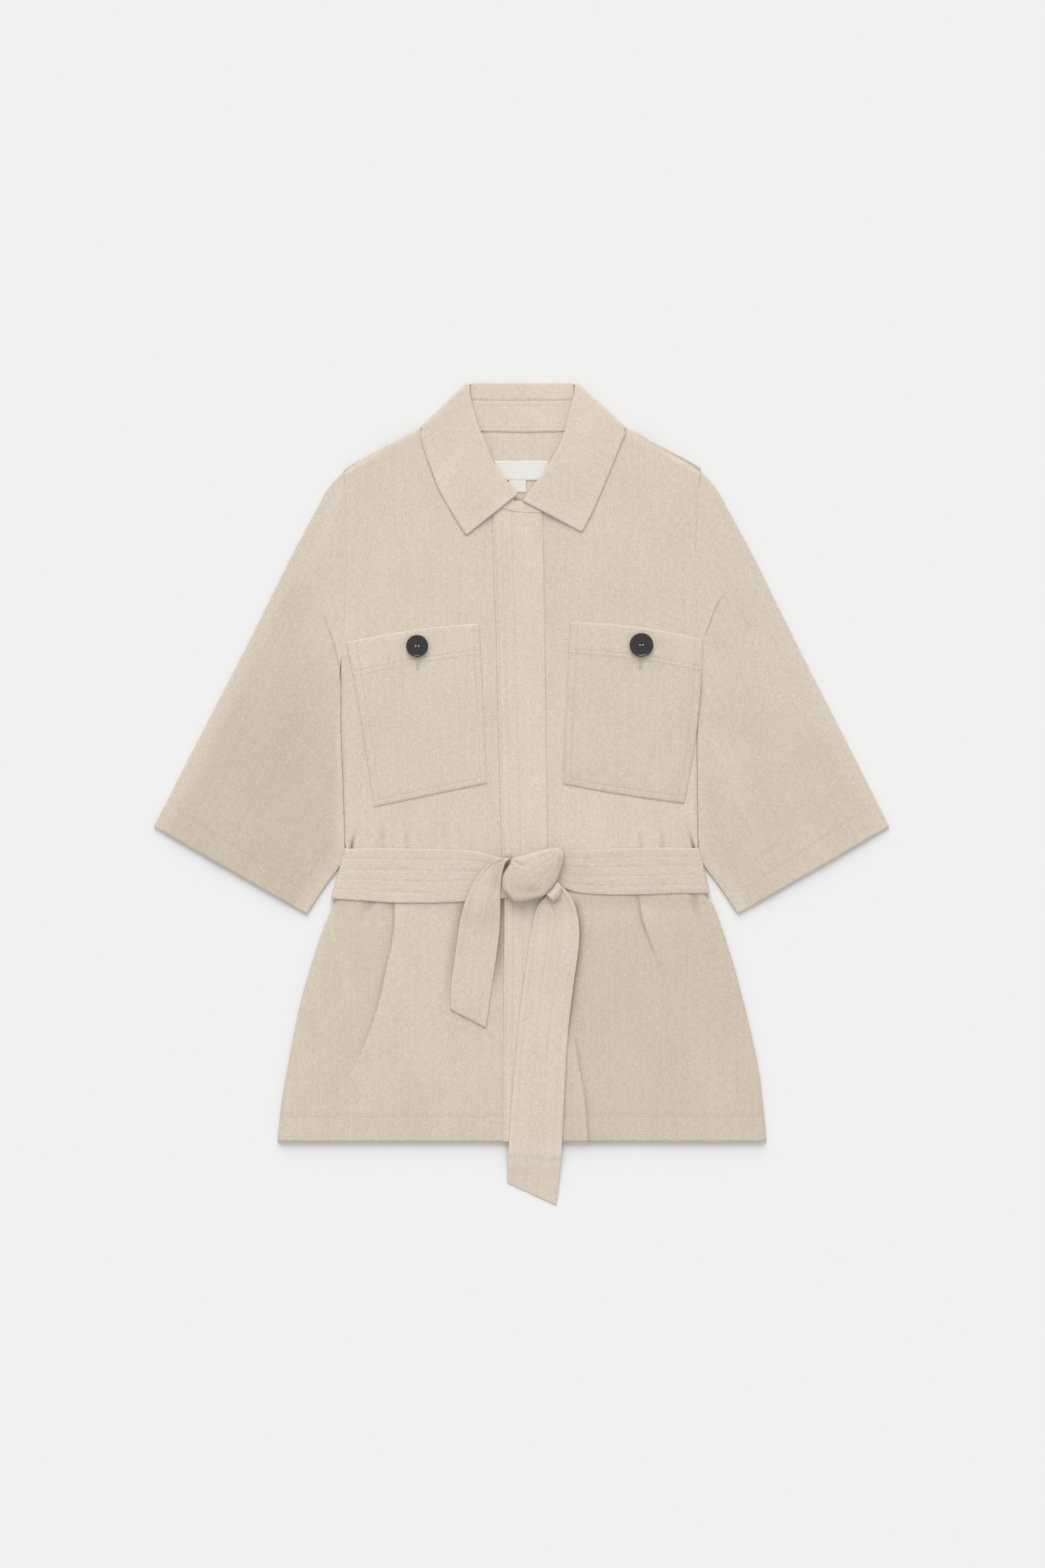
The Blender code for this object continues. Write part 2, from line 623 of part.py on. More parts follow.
def build_back(finish):
    neck_x = 68.4
    inner = (-122.0, -108.0, -neck_x, -60.5, -42.0, -20.5, 0.0, 20.5, 42.0, 60.5, neck_x, 108.0,
             122.0)

    def top_y(x):
        if abs(x) >= neck_x:
            return shoulder_y("right" if x < 0 else "left", x)
        gap = SEAM if abs(x) < 45.0 else NECK_GAP
        return look_up(COLLAR_BACK, "neck_x", "neck_y", x) - gap

    def line_at(y):
        right = side_x("right", y)
        left = side_x("left", y)
        xs = [right, lerp(right, inner[0], 0.5)] + list(inner) + [lerp(left, inner[-1], 0.5), left]
        return [Vector((x, y)) for x in xs]

    yoke = line_at(YOKE_Y)
    plan = []
    for share in (1.0, 0.84, 0.67, 0.5, 0.333):
        line = []
        for index, low in enumerate(yoke):
            point = Vector((low.x, lerp(YOKE_Y, top_y(low.x), share)))
            if index in (0, len(yoke) - 1):
                side = "right" if index == 0 else "left"
                point.y = lerp(YOKE_Y, 305.5, share)
                point.x = side_x(side, point.y)
            line.append(point)
        plan.append(line)
    for y in (YOKE_Y, 209.5, 150.0, UNDERARM_Y, 57.5, 0.0, BELT_ZONE[1] + BELT_RAMP,
              BELT_ZONE[1], -53.0, -96.0, BELT_ZONE[0], BELT_ZONE[0] - BELT_RAMP, -145.0, -186.0,
              -230.0, -280.0, HEM_Y):
        plan.append(line_at(y))
    grid = []
    for index, line in enumerate(plan):
        points = []
        for point in line:
            height = back_height(point.x, point.y)
            if index < 4:
                height = max(height, back_height(point.x, 300.0))
            points.append(Vector((point.x, point.y, height)))
        grid.append(points)
    return wall("back", grid, finish)


def build_sleeve(name, side, top_rows, lower_rows, crease, finish):
    """Flattened tube: rings from the armhole to the cuff, closed over both long edges."""
    sign = -1 if side == "right" else 1
    radius = SLEEVE_FOLD_RADIUS
    upper = spaced([flat(point) for point in top_rows], SLEEVE_RINGS)
    down_side = [Vector((side_x(side, y) + sign * SLEEVE_BODY_GAP, y))
                 for y in (UNDERARM_Y, 85.0, 57.5, 30.0, 7.0, -20.0, -46.0)]
    lower = spaced(down_side + [flat(point) for point in lower_rows], SLEEVE_RINGS)
    shares = (0.0, 0.03, 0.09, 0.2, 0.35, 0.5, 0.65, 0.8, 0.91, 1.0)
    turn = [math.radians(angle) for angle in (-45, 0, 45)]
    grid = []
    for index in range(SLEEVE_RINGS):
        t = index / (SLEEVE_RINGS - 1)
        out_top = across(upper, index, Vector((sign, 0.6)))
        out_low = across(lower, index, Vector((-sign, -0.5)))
        reach = radius + HALF
        start = upper[index] - out_top * reach
        end = lower[index] - out_low * reach
        crown = lerp(FRONT, 3.3, smooth(t)) - (GROUND + 2 * radius)
        ring = []
        for angle in turn:
            edge = start + out_top * (radius * math.cos(angle))
            ring.append(Vector((edge.x, edge.y, GROUND + radius + radius * math.sin(angle))))
        for share in shares:
            point = start.lerp(end, share)
            inside = smooth(min(share, 1 - share) / 0.12)
            bow = (side_x(side, point.y) + sign * ARMHOLE_GAP - point.x) * (1 - t) ** 12
            point.x += bow * inside
            rise = crown * smooth(min(share, 1 - share) / 0.22)
            crumple = fold_relief([crease], point.x, point.y, 1.0) * inside
            ring.append(Vector((point.x, point.y, GROUND + 2 * radius + rise + crumple)))
        for angle in reversed(turn):
            edge = end + out_low * (radius * math.cos(angle))
            ring.append(Vector((edge.x, edge.y, GROUND + radius + radius * math.sin(angle))))
        for share in (1.0, 0.7, 0.35, 0.0):
            point = start.lerp(end, share)
            inside = smooth(min(share, 1 - share) / 0.12)
            bow = (side_x(side, point.y) + sign * ARMHOLE_GAP - point.x) * (1 - t) ** 12
            point.x += bow * inside
            ring.append(Vector((point.x, point.y, GROUND)))
        grid.append(ring)
    return wall(name, grid, finish, ring=True)


def fall_section(row, edge_height):
    """Points across the fall: stand seam, round the roll line, out to the free edge."""
    roll = Vector((row.roll_x, row.roll_y))
    seam = Vector((row.fall_x, row.fall_y))
    outer = Vector((row.outer_x, row.outer_y))
    bulge = -((seam - roll).normalized() + (outer - roll).normalized()).normalized()
    radius = (row.high - row.low) / 2
    middle = (row.high + row.low) / 2
    centre = roll - bulge * (abs(radius) + HALF)
    section = []
    for share in (0.0, 0.5, 1.0):
        point = seam.lerp(centre, share)
        section.append(Vector((point.x, point.y, row.low)))
    for angle in (-45, 0, 45):
        turn = math.radians(angle)
        point = centre + bulge * (abs(radius) * math.cos(turn))
        section.append(Vector((point.x, point.y, middle + radius * math.sin(turn))))
    for share in (0.0, 0.22, 0.45, 0.65, 0.83, 1.0):
        point = centre.lerp(outer, share)
        height = lerp(row.high, edge_height, smooth((share - 0.45) / 0.55))
        section.append(Vector((point.x, point.y, height)))
    return section


def side_frame(side_fold, sign):
    """Centres and outward directions of the folds at one side of the neck."""
    roll = Vector((side_fold.roll_x, side_fold.roll_y))
    seam = Vector((side_fold.fall_x, side_fold.fall_y))
    neck = Vector((side_fold.neck_x, side_fold.neck_y))
    outer = Vector((side_fold.outer_x, side_fold.outer_y))
    slope = (outer - roll).normalized()
    out_fall = Vector((-slope.y, slope.x))
    out_fall = out_fall if out_fall.x * sign > 0 else -out_fall
    rise = (seam - neck).normalized()
    out_stand = Vector((-rise.y, rise.x))
    out_stand = out_stand if out_stand.x * sign > 0 else -out_stand
    corner = roll - out_fall * (FALL_FOLD_RADIUS + HALF) + slope * 1.5
    seam_centre = seam - out_stand * (STAND_FOLD_RADIUS + HALF)
    neck_centre = neck - out_stand * (NECK_FOLD_RADIUS + HALF)
    outer_centre = outer - out_fall * (OUTER_FOLD_RADIUS + HALF)
    bulge = -((seam - roll).normalized() + slope).normalized()
    return corner, seam_centre, neck_centre, outer_centre, out_fall, out_stand, bulge


def lifted(plan, height):
    return Vector((plan.x, plan.y, height))


def fall_side_section(side_fold, sign, angle):
    """Section of the fall where it turns from the front (90 degrees) to behind (-90)."""
    corner, seam_at, _, outer_at, out_fall, out_stand, bulge = side_frame(side_fold, sign)
    turn = math.radians(angle)
    lean = lifted(out_fall * math.cos(turn), math.sin(turn))
    lean_stand = lifted(out_stand * math.cos(turn), math.sin(turn))
    centre = lifted(corner, SIDE_CENTRE_Z)
    start = lifted(seam_at, SIDE_CENTRE_Z) + lean_stand * STAND_FOLD_RADIUS
    before = centre + lean * STAND_FOLD_RADIUS
    after = centre + lean * FALL_FOLD_RADIUS
    end = lifted(outer_at, OUTER_CENTRE_Z) + lean * OUTER_FOLD_RADIUS
    section = [start, start.lerp(before, 0.5), before]
    for roll_angle in (-45, 0, 45):
        roll_turn = math.radians(roll_angle)
        step = lean * math.sin(roll_turn) + lifted(bulge, 0.0) * math.cos(roll_turn)
        section.append(before.lerp(after, 0.5) + step * ROLL_RADIUS)
    section += [after.lerp(end, share) for share in (0.0, 0.22, 0.45, 0.65, 0.83, 1.0)]
    return section


def stand_points(neck, seam):
    """Points across the stand: the neck seam, its middle and the seam to the fall."""
    top = seam + (neck - seam).normalized() * SEAM
    return [neck, neck.lerp(top, 0.5), top]


def build_collar(finish_fall, finish_stand):
    fold_angles = (90, 45, 0, -45, -90)
    fall = []
    stand = []
    for row in STAND_END:
        neck = Vector((row.seam_x, row.seam_y, row.height))
        top = Vector((row.top_x, row.top_y, row.height))
        stand.append([neck, neck.lerp(top, 0.5), top])

    def add_front(rows):
        for row in rows:
            fall.append(fall_section(row, ON_FRONT))
            near_end = smooth((row.low - 5.2) / 0.4)
            neck = Vector((row.neck_x, row.neck_y, lerp(FRONT, row.low, near_end)))
            stand.append(stand_points(neck, fall[-1][0]))

    def add_side(side_fold, sign, angles):
        for angle in angles:
            section = fall_side_section(side_fold, sign, angle)
            _, _, neck_at, _, _, out_stand, _ = side_frame(side_fold, sign)
            turn = math.radians(angle)
            lean = lifted(out_stand * math.cos(turn), math.sin(turn))
            neck = lifted(neck_at, NECK_CENTRE_Z) + lean * NECK_FOLD_RADIUS
            fall.append(section)
            stand.append(stand_points(neck, section[0]))

    add_front(spline(COLLAR_RIGHT, 2))
    add_side(COLLAR_SIDE_RIGHT, -1, fold_angles)
    for row in COLLAR_BACK:
        fall.append(fall_section(row, GROUND))
        neck = Vector((row.neck_x, row.neck_y, GROUND + BACK_LIFT))
        stand.append(stand_points(neck, fall[-1][0]))
    add_side(COLLAR_SIDE_LEFT, 1, reversed(fold_angles))
    add_front(reversed(spline(COLLAR_LEFT, 2)))
    wall("collar", fall, finish_fall)
    wall("collar_stand", stand, finish_stand)


def build_placket(finish):
    grid = []
    for y in (267.8, 247.5, 200.0, 160.0, 120.0, 70.0, 20.0, -37.5, -75.0, -100.0, -160.0, -220.0,
              -275.0, HEM_Y):
        right = look_up(PLACKET_EDGES, "y", "right_x", y)
        left = look_up(PLACKET_EDGES, "y", "left_x", y)
        line = [Vector((lerp(right, left, k / 3), y, ON_FRONT)) for k in range(4)]
        grid.append(line)
    return wall("placket", grid, finish)


def edge_curve(start, middle, end, t):
    """Quadratic through a corner, a middle point and the next corner."""
    bend = middle * 2 - (start + end) * 0.5
    return start * (1 - t) ** 2 + bend * (2 * t * (1 - t)) + end * t ** 2


def build_pocket(name, rows, finish):
    points = {row.place: Vector((row.x, row.y)) for row in rows}
    side_top = points["top side corner"]
    centre_top = points["top centre corner"]
    side_low = points["bottom side corner"]
    centre_low = points["bottom centre corner"]
    columns = 6
    grid = []
    raised = []
    shares = (0.0, POCKET_BAND - 0.004, POCKET_BAND + 0.004, 0.4, 0.6, 0.8, 1.0)
    for v in shares:
        line = []
        for k in range(columns + 1):
            u = k / columns
            top = edge_curve(side_top, points["top middle"], centre_top, u)
            low = edge_curve(side_low, points["bottom middle"], centre_low, u)
            side = edge_curve(side_top, points["side middle"], side_low, v)
            centre = edge_curve(centre_top, points["centre middle"], centre_low, v)
            corners = side_top.lerp(centre_top, u).lerp(side_low.lerp(centre_low, u), v)
            plan = top.lerp(low, v) + side.lerp(centre, u) - corners
            line.append(lifted(plan, ON_FRONT))
        grid.append(line)
        raised.append(BAND_RISE if v < POCKET_BAND else 0.0)
    return wall(name, grid, finish, raised=raised)


def build_button(row, finish):
    """Turned button with a rim and four holes, resting on the pocket band."""
    base = ON_FRONT + HALF + BAND_RISE + SEAM
    radius = row.diameter / 2
    centre = Vector((row.x, row.y, base))
    points = []
    faces = []
    for ring in BUTTON_SECTION:
        for k in range(BUTTON_SIDES):
            angle = 2 * math.pi * k / BUTTON_SIDES
            step = Vector((math.cos(angle), math.sin(angle), 0.0)) * (ring.radius * radius)
            points.append(centre + step + UP * ring.height)
    rings = len(BUTTON_SECTION)
    for i in range(rings - 1):
        for k in range(BUTTON_SIDES):
            a = i * BUTTON_SIDES + k
            b = i * BUTTON_SIDES + (k + 1) % BUTTON_SIDES
            faces.append((a, b, b + BUTTON_SIDES, a + BUTTON_SIDES))
    faces.append(tuple(range(BUTTON_SIDES)))
    faces.append(tuple(reversed(range((rings - 1) * BUTTON_SIDES, rings * BUTTON_SIDES))))
    piece = solid(row.name, points, faces, finish, sharp=35.0)
    for number, (across_x, across_y) in enumerate(((-1, -1), (1, -1), (-1, 1), (1, 1))):
        place = centre + Vector((across_x, across_y, 0.0)) * BUTTON_HOLE_OFFSET + UP * 1.2
        bpy.ops.mesh.primitive_cylinder_add(
            vertices=8, radius=BUTTON_HOLE_RADIUS * MM, depth=6.0 * MM, location=place * MM
        )
        drill = bpy.context.active_object
        drill.name = f"{row.name}_drill_{number + 1}"
        drill.hide_render = True
        drill.display_type = "WIRE"
        cut = piece.modifiers.new(f"hole_{number + 1}", "BOOLEAN")
        cut.operation = "DIFFERENCE"
        cut.object = drill
    return piece


def strip_section(top, low, height, columns=3):
    return [lifted(top.lerp(low, k / columns), height) for k in range(columns + 1)]


def belt_turn(side_row, sign, angles):
    """Sections of the belt as it folds round one side of the body."""
    top = Vector((side_row.top_x, side_row.top_y))
    low = Vector((side_row.low_x, side_row.low_y))
    along = (low - top).normalized()
    out = Vector((-along.y, along.x))
    out = out if out.x * sign > 0 else -out
    sections = []
    for angle in angles:
        turn = math.radians(angle)
        shift = out * (BELT_FOLD_RADIUS * (math.cos(turn) - 1) - HALF)
        height = BELT_FOLD_Z + BELT_FOLD_RADIUS * math.sin(turn)
        sections.append(strip_section(top + shift, low + shift, height))
    return sections


def belt_front(rows):
    sections = []
    for row in rows:
        top = Vector((row.top_x, row.top_y))
        low = Vector((row.low_x, row.low_y))
        sections.append(strip_section(top, low, row.height))
    return sections


def build_belt(finish):
    angles = (90, 45, 0, -45, -90)
    grid = belt_front(BELT_RIGHT)
    grid += belt_turn(BELT_SIDE_RIGHT, -1, angles)
    for x in BELT_BACK_X:
        share = (x - BELT_SIDE_RIGHT.top_x) / (BELT_SIDE_LEFT.top_x - BELT_SIDE_RIGHT.top_x)
        top = Vector((x, lerp(BELT_SIDE_RIGHT.top_y, BELT_SIDE_LEFT.top_y, share)))
        low = Vector((x * 1.06, lerp(BELT_SIDE_RIGHT.low_y, BELT_SIDE_LEFT.low_y, share)))
        grid.append(strip_section(top, low, GROUND))
    grid += belt_turn(BELT_SIDE_LEFT, 1, reversed(angles))
    grid += reversed(belt_front(BELT_LEFT))
    return wall("belt", grid, finish)


def build_tail(name, rows, finish):
    grid = []
    for row in spline(rows, 2):
        left = Vector((row.left_x, row.left_y))
        right = Vector((row.right_x, row.right_y))
        grid.append(strip_section(left, right, row.height))
    return wall(name, grid, finish)


def build_knot(finish):
    """Rounded lump of crossing folds over the meeting ends of the belt."""
    closed = KNOT_OUTLINE + KNOT_OUTLINE[:3]
    outline = [flat(point) for point in spline([KNOT_OUTLINE[-1]] + closed, 2)]
    outline = outline[2:2 + 2 * len(KNOT_OUTLINE)]
    sides = len(outline)
    centre = sum(outline, Vector((0.0, 0.0))) / sides
    points = []
    for share in KNOT_RINGS:
        swell = math.sqrt(1 - share ** 2.4)
        for point in outline:
            plan = centre.lerp(point, share)
            folds = fold_relief(KNOT_FOLDS, plan.x, plan.y, 1.0) * smooth((1 - share) / 0.2)
            points.append(lifted(plan, KNOT_EDGE_Z + (KNOT_TOP - KNOT_EDGE_Z) * swell + folds))
    under = KNOT_RINGS[1:]
    for share in under:
        fall = math.sqrt(1 - ((share - 0.6) / 0.4) ** 2) if share > 0.6 else 1.0
        for point in outline:
            plan = centre.lerp(point, share)
            points.append(lifted(plan, lerp(KNOT_EDGE_Z, KNOT_BASE, fall)))
    faces = []
    rings = [list(range(i * sides, (i + 1) * sides)) for i in range(len(KNOT_RINGS) + len(under))]
    upper = rings[:len(KNOT_RINGS)]
    lower = [rings[0]] + rings[len(KNOT_RINGS):]
    for stack in (upper, lower):
        for a, b in zip(stack, stack[1:]):
            for k in range(sides):
                m = (k + 1) % sides
                faces.append((a[k], a[m], b[m], b[k]))
        faces.append(tuple(stack[-1]))
    return solid("belt_knot", points, faces, finish)


def build_label(row, finish):
    height = GROUND + BACK_LIFT + HALF + SEAM + LABEL_HALF
    grid = []
    for k in range(3):
        y = lerp(row.top, row.low, k / 2)
        grid.append([Vector((lerp(row.left, row.right, j / 4), y, height)) for j in range(5)])
    return wall(row.name, grid, finish, half=LABEL_HALF)


def build_jacket():
    clear_scene()
    linen = {name: material("linen_" + name, colour, 0.9) for name, colour in (
        ("back", LINEN_FACING), ("front_right", LINEN), ("front_left", LINEN),
        ("placket", LINEN_FACING), ("sleeve_right", LINEN_SLEEVE), ("sleeve_left", LINEN_SLEEVE),
        ("collar", LINEN_FACING), ("stand", LINEN_FACING), ("pocket_right", LINEN),
        ("pocket_left", LINEN), ("belt", LINEN_FACING), ("knot", LINEN_FACING),
        ("tail_short", LINEN), ("tail_long", LINEN_FACING))}
    build_back(linen["back"])
    build_front("front_right", "right", FOLDS_RIGHT, COLLAR_RIGHT, COLLAR_SIDE_RIGHT,
                RIGHT_FRONT_UNDER, linen["front_right"])
    build_front("front_left", "left", FOLDS_LEFT, COLLAR_LEFT, COLLAR_SIDE_LEFT,
                LEFT_FRONT_UNDER, linen["front_left"])
    build_placket(linen["placket"])
    build_sleeve("sleeve_right", "right", SLEEVE_TOP_RIGHT, SLEEVE_LOWER_RIGHT, CREASE_RIGHT,
                 linen["sleeve_right"])
    build_sleeve("sleeve_left", "left", SLEEVE_TOP_LEFT, SLEEVE_LOWER_LEFT, CREASE_LEFT,
                 linen["sleeve_left"])
    build_collar(linen["collar"], linen["stand"])
    build_pocket("pocket_right", POCKET_RIGHT, linen["pocket_right"])
    build_pocket("pocket_left", POCKET_LEFT, linen["pocket_left"])
    for row in BUTTONS:
        build_button(row, material(row.name, BUTTON_BLACK, 0.15))
    build_belt(linen["belt"])
    build_knot(linen["knot"])
    build_tail("belt_tail_short", TAIL_SHORT, linen["tail_short"])
    build_tail("belt_tail_long", TAIL_LONG, linen["tail_long"])
    for row in LABELS:
        build_label(row, material(row.name, LABEL_WHITE, 0.7))


build_jacket()
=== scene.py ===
"""Belted safari jacket in beige linen, lying flat on its back under soft light.

Sizes and places are in millimetres, in the model's own frame, and meshes are written in metres.
Right and left are the wearer's, so the right side is at -X.
"""

import math
from collections import namedtuple

import bmesh
import bpy
import numpy as np
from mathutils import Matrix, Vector


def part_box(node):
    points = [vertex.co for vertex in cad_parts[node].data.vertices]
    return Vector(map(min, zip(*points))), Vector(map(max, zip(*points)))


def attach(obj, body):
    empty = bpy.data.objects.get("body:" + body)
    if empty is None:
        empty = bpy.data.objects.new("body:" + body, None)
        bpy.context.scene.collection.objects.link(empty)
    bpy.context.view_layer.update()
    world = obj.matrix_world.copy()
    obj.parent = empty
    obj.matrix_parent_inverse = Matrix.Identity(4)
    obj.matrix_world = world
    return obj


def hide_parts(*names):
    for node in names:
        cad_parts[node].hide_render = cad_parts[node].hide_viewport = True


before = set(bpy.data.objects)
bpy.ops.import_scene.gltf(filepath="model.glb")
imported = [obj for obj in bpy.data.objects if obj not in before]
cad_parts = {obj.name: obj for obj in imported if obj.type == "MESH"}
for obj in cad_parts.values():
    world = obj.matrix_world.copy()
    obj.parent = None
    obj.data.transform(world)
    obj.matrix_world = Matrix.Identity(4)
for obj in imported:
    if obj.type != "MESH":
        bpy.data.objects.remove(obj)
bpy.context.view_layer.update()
bpy.ops.object.select_all(action="DESELECT")

MM = 0.001
TINY = 1e-12
SIGN = {"right": -1, "left": 1}

# Thickness of the cloth, and heights of the middle of its layers
CLOTH = 0.8
FOLDED_CLOTH = 1.1
GROUND = 0.55
BACK_LIFT = 1.6
FRONT = 4.2
LAP = 1.4
ON_FRONT = FRONT + LAP
ON_POCKET = FRONT + 1.1
ON_PLACKET = ON_FRONT + LAP
ON_BELT = ON_PLACKET + LAP

# Shell edges: how far they round out, in half thicknesses, and the painted shade on their rims and
# on steep faces
RIM_ROUND = 0.8
RIM_SHADE = 0.15
STEEP_SHADE = 0.35
# Thread
STITCH_LIFT = CLOTH / 2 + 0.05
THREAD_SIDES = 5

# Outline of the body
HEM_Y = -329.7
HEM_DEPTH = 24.2
HEM_ROW_Y = HEM_Y + HEM_DEPTH
HEM_ROW_END = {"right": -20.0, "left": 27.0}
HEM_GROOVE = 1.4
UNDERARM_Y = 117.5
YOKE_Y = 230.0
YOKE_RISE = 118.0
NECK_LOW_Y = 267.0
NECK_HIGH_Y = 356.0
FRONT_WIDTH = 185.0
BELT_ZONE = (-107.0, -46.0)
BELT_RAMP = 9.0
NECK_ZONE_X = 108.0
NECK_RAMP = 14.0
NECK_LIFT_Y = 268.0
EDGE_ROLL = 6.0
BodyEdge = namedtuple("BodyEdge", "y right_x left_x")
BODY_EDGES = [
    BodyEdge(305.5, -168.5, 169.5),
    BodyEdge(279.0, -167.0, 167.0),
    BodyEdge(209.5, -167.0, 165.0),
    BodyEdge(150.0, -169.5, 167.0),
    BodyEdge(117.5, -171.0, 166.5),
    BodyEdge(57.5, -171.0, 166.0),
    BodyEdge(7.0, -169.0, 166.5),
    BodyEdge(-44.0, -167.5, 167.0),
    BodyEdge(-56.0, -166.5, 167.0),
    BodyEdge(-96.0, -175.0, 174.5),
    BodyEdge(-104.0, -177.5, 181.0),
    BodyEdge(-128.0, -188.0, 190.0),
    BodyEdge(-166.0, -200.5, 202.0),
    BodyEdge(-204.0, -211.0, 212.0),
    BodyEdge(-255.0, -221.0, 223.5),
    BodyEdge(-293.0, -227.5, 228.5),
    BodyEdge(-330.0, -231.5, 232.0),
]
ShoulderPoint = namedtuple("ShoulderPoint", "right_x left_x y")
SHOULDER = [
    ShoulderPoint(-168.5, 169.5, 305.5),
    ShoulderPoint(-155.5, 156.0, 314.8),
    ShoulderPoint(-126.5, 128.0, 330.0),
    ShoulderPoint(-96.5, 99.0, 345.5),
    ShoulderPoint(-67.7, 68.0, 355.0),
]
PlacketEdge = namedtuple("PlacketEdge", "y right_x left_x")
PLACKET_EDGES = [
    PlacketEdge(267.8, -26.3, 19.6),
    PlacketEdge(247.5, -27.0, 20.0),
    PlacketEdge(120.0, -23.0, 22.0),
    PlacketEdge(-37.5, -19.0, 24.0),
    PlacketEdge(-100.0, -16.2, 25.0),
    PlacketEdge(-220.0, -17.0, 24.5),
    PlacketEdge(-330.0, -17.5, 24.0),
]
FRONT_UNDER = {"right": 8.0, "left": 14.0}
PLACKET_WIDTH = 46.0
PLACKET_STITCHES = (2.0, 8.2, 17.6)

# Crease height whose painted shade is full, how far a crease fades past its ends, and the painted
# shade of a slit
FULL_CREASE = 2.4
CREASE_TIP = 4.0
SLIT_DEPTH = 1.7
# Creases of the fronts: a path, its form, height, reach and how much of each end fades
Crease = namedtuple("Crease", "path form height reach start end")
CREASES = [
    Crease([(-121, -98), (-122, -131), (-129, -166), (-139, -208), (-154, -247), (-172, -279),
            (-189, -300)], "tuck", 2.4, 16, 0.0, 0.5),
    Crease([(110.5, -93), (114, -118), (120, -136), (128, -156), (137, -180)],
           "tuck", 1.7, 12, 0.0, 0.75),
    Crease([(46, -217), (51.5, -238), (56, -265), (60, -287), (63.5, -330)],
           "tuck_back", 1.4, 12, 0.25, 0.0),
    Crease([(163, -93), (165, -112), (169, -132)], "dip", 1.1, 6, 0.0, 0.7),
    Crease([(-144, -100), (-148, -112), (-154, -128)], "dip", 1.0, 8, 0.0, 0.7),
    Crease([(-161.8, -54), (-160.6, -46), (-159.0, -36)], "slit", 0.5, 1.7, 0.0, 0.9),
    Crease([(-160.5, -50), (-157, -34), (-153, -18)], "dip", 0.9, 3, 0.0, 0.7),
    Crease([(-131.5, -52), (-132, -40), (-133, -22)], "dip", 1.5, 3.8, 0.0, 0.8),
    Crease([(-108.5, -52), (-109, -44), (-109, -32)], "dip", 1.3, 3.6, 0.0, 0.8),
    Crease([(113, -52), (112.5, -42), (111.5, -32)], "dip", 1.3, 3.6, 0.0, 0.8),
    Crease([(133.5, -52), (133.5, -42), (132.5, -30)], "dip", 1.3, 3.6, 0.0, 0.8),
    Crease([(163.8, -54), (162.0, -46), (159.8, -36)], "slit", 0.5, 1.7, 0.0, 0.9),
    Crease([(162, -50), (158, -36), (154, -20)], "dip", 0.9, 3, 0.0, 0.7),
]
# Random draw of the fine crumpling of a front and its sleeve
CRUMPLE_SEED = {"right": 21, "left": 22}
# Painted shade that the skirt, the far part of a sleeve and a pocket have all over
SKIRT_SHADE = {"right": 0.12, "left": 0.22}
SKIRT_TOP_Y = -80.0
SKIRT_FADE = 60.0
SLEEVE_SHADE = {"right": 0.32, "left": 0.14}
POCKET_SHADE = {"right": 0.0, "left": 0.12}
# Broad hollows and swells that all the layers share: place, reach along X and Y, height
Swell = namedtuple("Swell", "x y reach_x reach_y height")
SWELLS = [
    Swell(-165, -190, 22, 90, 0.5),
    Swell(-100, -190, 26, 80, 0.5),
    Swell(-60, -255, 20, 60, -0.4),
    Swell(95, -170, 18, 70, 0.4),
    Swell(150, -240, 26, 80, 0.5),
    Swell(120, -290, 18, 50, -0.4),
    Swell(-120, 215, 30, 60, 0.4),
    Swell(110, 225, 26, 60, 0.4),
    Swell(-60, 200, 20, 50, -0.3),
    Swell(-30, 60, 12, 80, -0.25),
    Swell(33, 90, 10, 90, -0.25),
]
# Painted light on a patch of the skirt, and painted shade below the belt
LIT_PATCH = Swell(-92, -195, 34, 75, -0.13)
BELT_SHADE_Y = -100.0
BELT_SHADE = 0.25

# Sleeves
SLEEVE_TOP = {
    "right": [(-169.2, 305.8), (-178.5, 296.5), (-185.5, 287.0), (-191.5, 276.0),
              (-220.0, 222.0), (-262.0, 138.0), (-305.5, 54.0), (-349.0, -31.0)],
    "left": [(170.2, 305.8), (180.0, 295.5), (188.0, 284.0), (194.0, 273.0),
             (221.5, 222.0), (263.0, 138.0), (306.0, 54.0), (349.0, -31.0)],
}
SLEEVE_LOWER = {
    "right": [(-166.6, -59.0), (-171.0, -67.0), (-187.5, -89.5), (-203.5, -114.0)],
    "left": [(167.4, -59.0), (172.2, -67.5), (189.0, -90.0), (205.0, -114.0)],
}
SLEEVE_CREASES = {
    "right": [
        Crease([(-190, 178), (-184, 160), (-177, 138), (-172.5, 117)], "tuck", 0.9, 3.5, 0.4, 0.1),
        Crease([(-186, 60), (-196, 10), (-204, -40)], "swell", 0.7, 16, 0.4, 0.4),
        Crease([(-214, 175), (-238, 110), (-262, 40)], "swell", 0.8, 22, 0.4, 0.4),
    ],
    "left": [
        Crease([(196.5, 194), (186, 181), (178, 161), (173, 148)], "tuck_back", 0.9, 3.5, 0.4, 0.1),
        Crease([(190, 60), (202, 10), (212, -40)], "swell", 0.7, 16, 0.4, 0.4),
        Crease([(210, 170), (236, 110), (262, 40)], "swell", 0.7, 22, 0.4, 0.4),
        Crease([(222, -66), (238, -52), (252, -44)], "dip", 0.25, 4, 0.5, 0.5),
    ],
}
SLEEVE_BODY_GAP = 0.35
SLEEVE_FOLD_RADIUS = 0.95
SLEEVE_GIRTH = 380.0
CUFF_HEM = 25.0

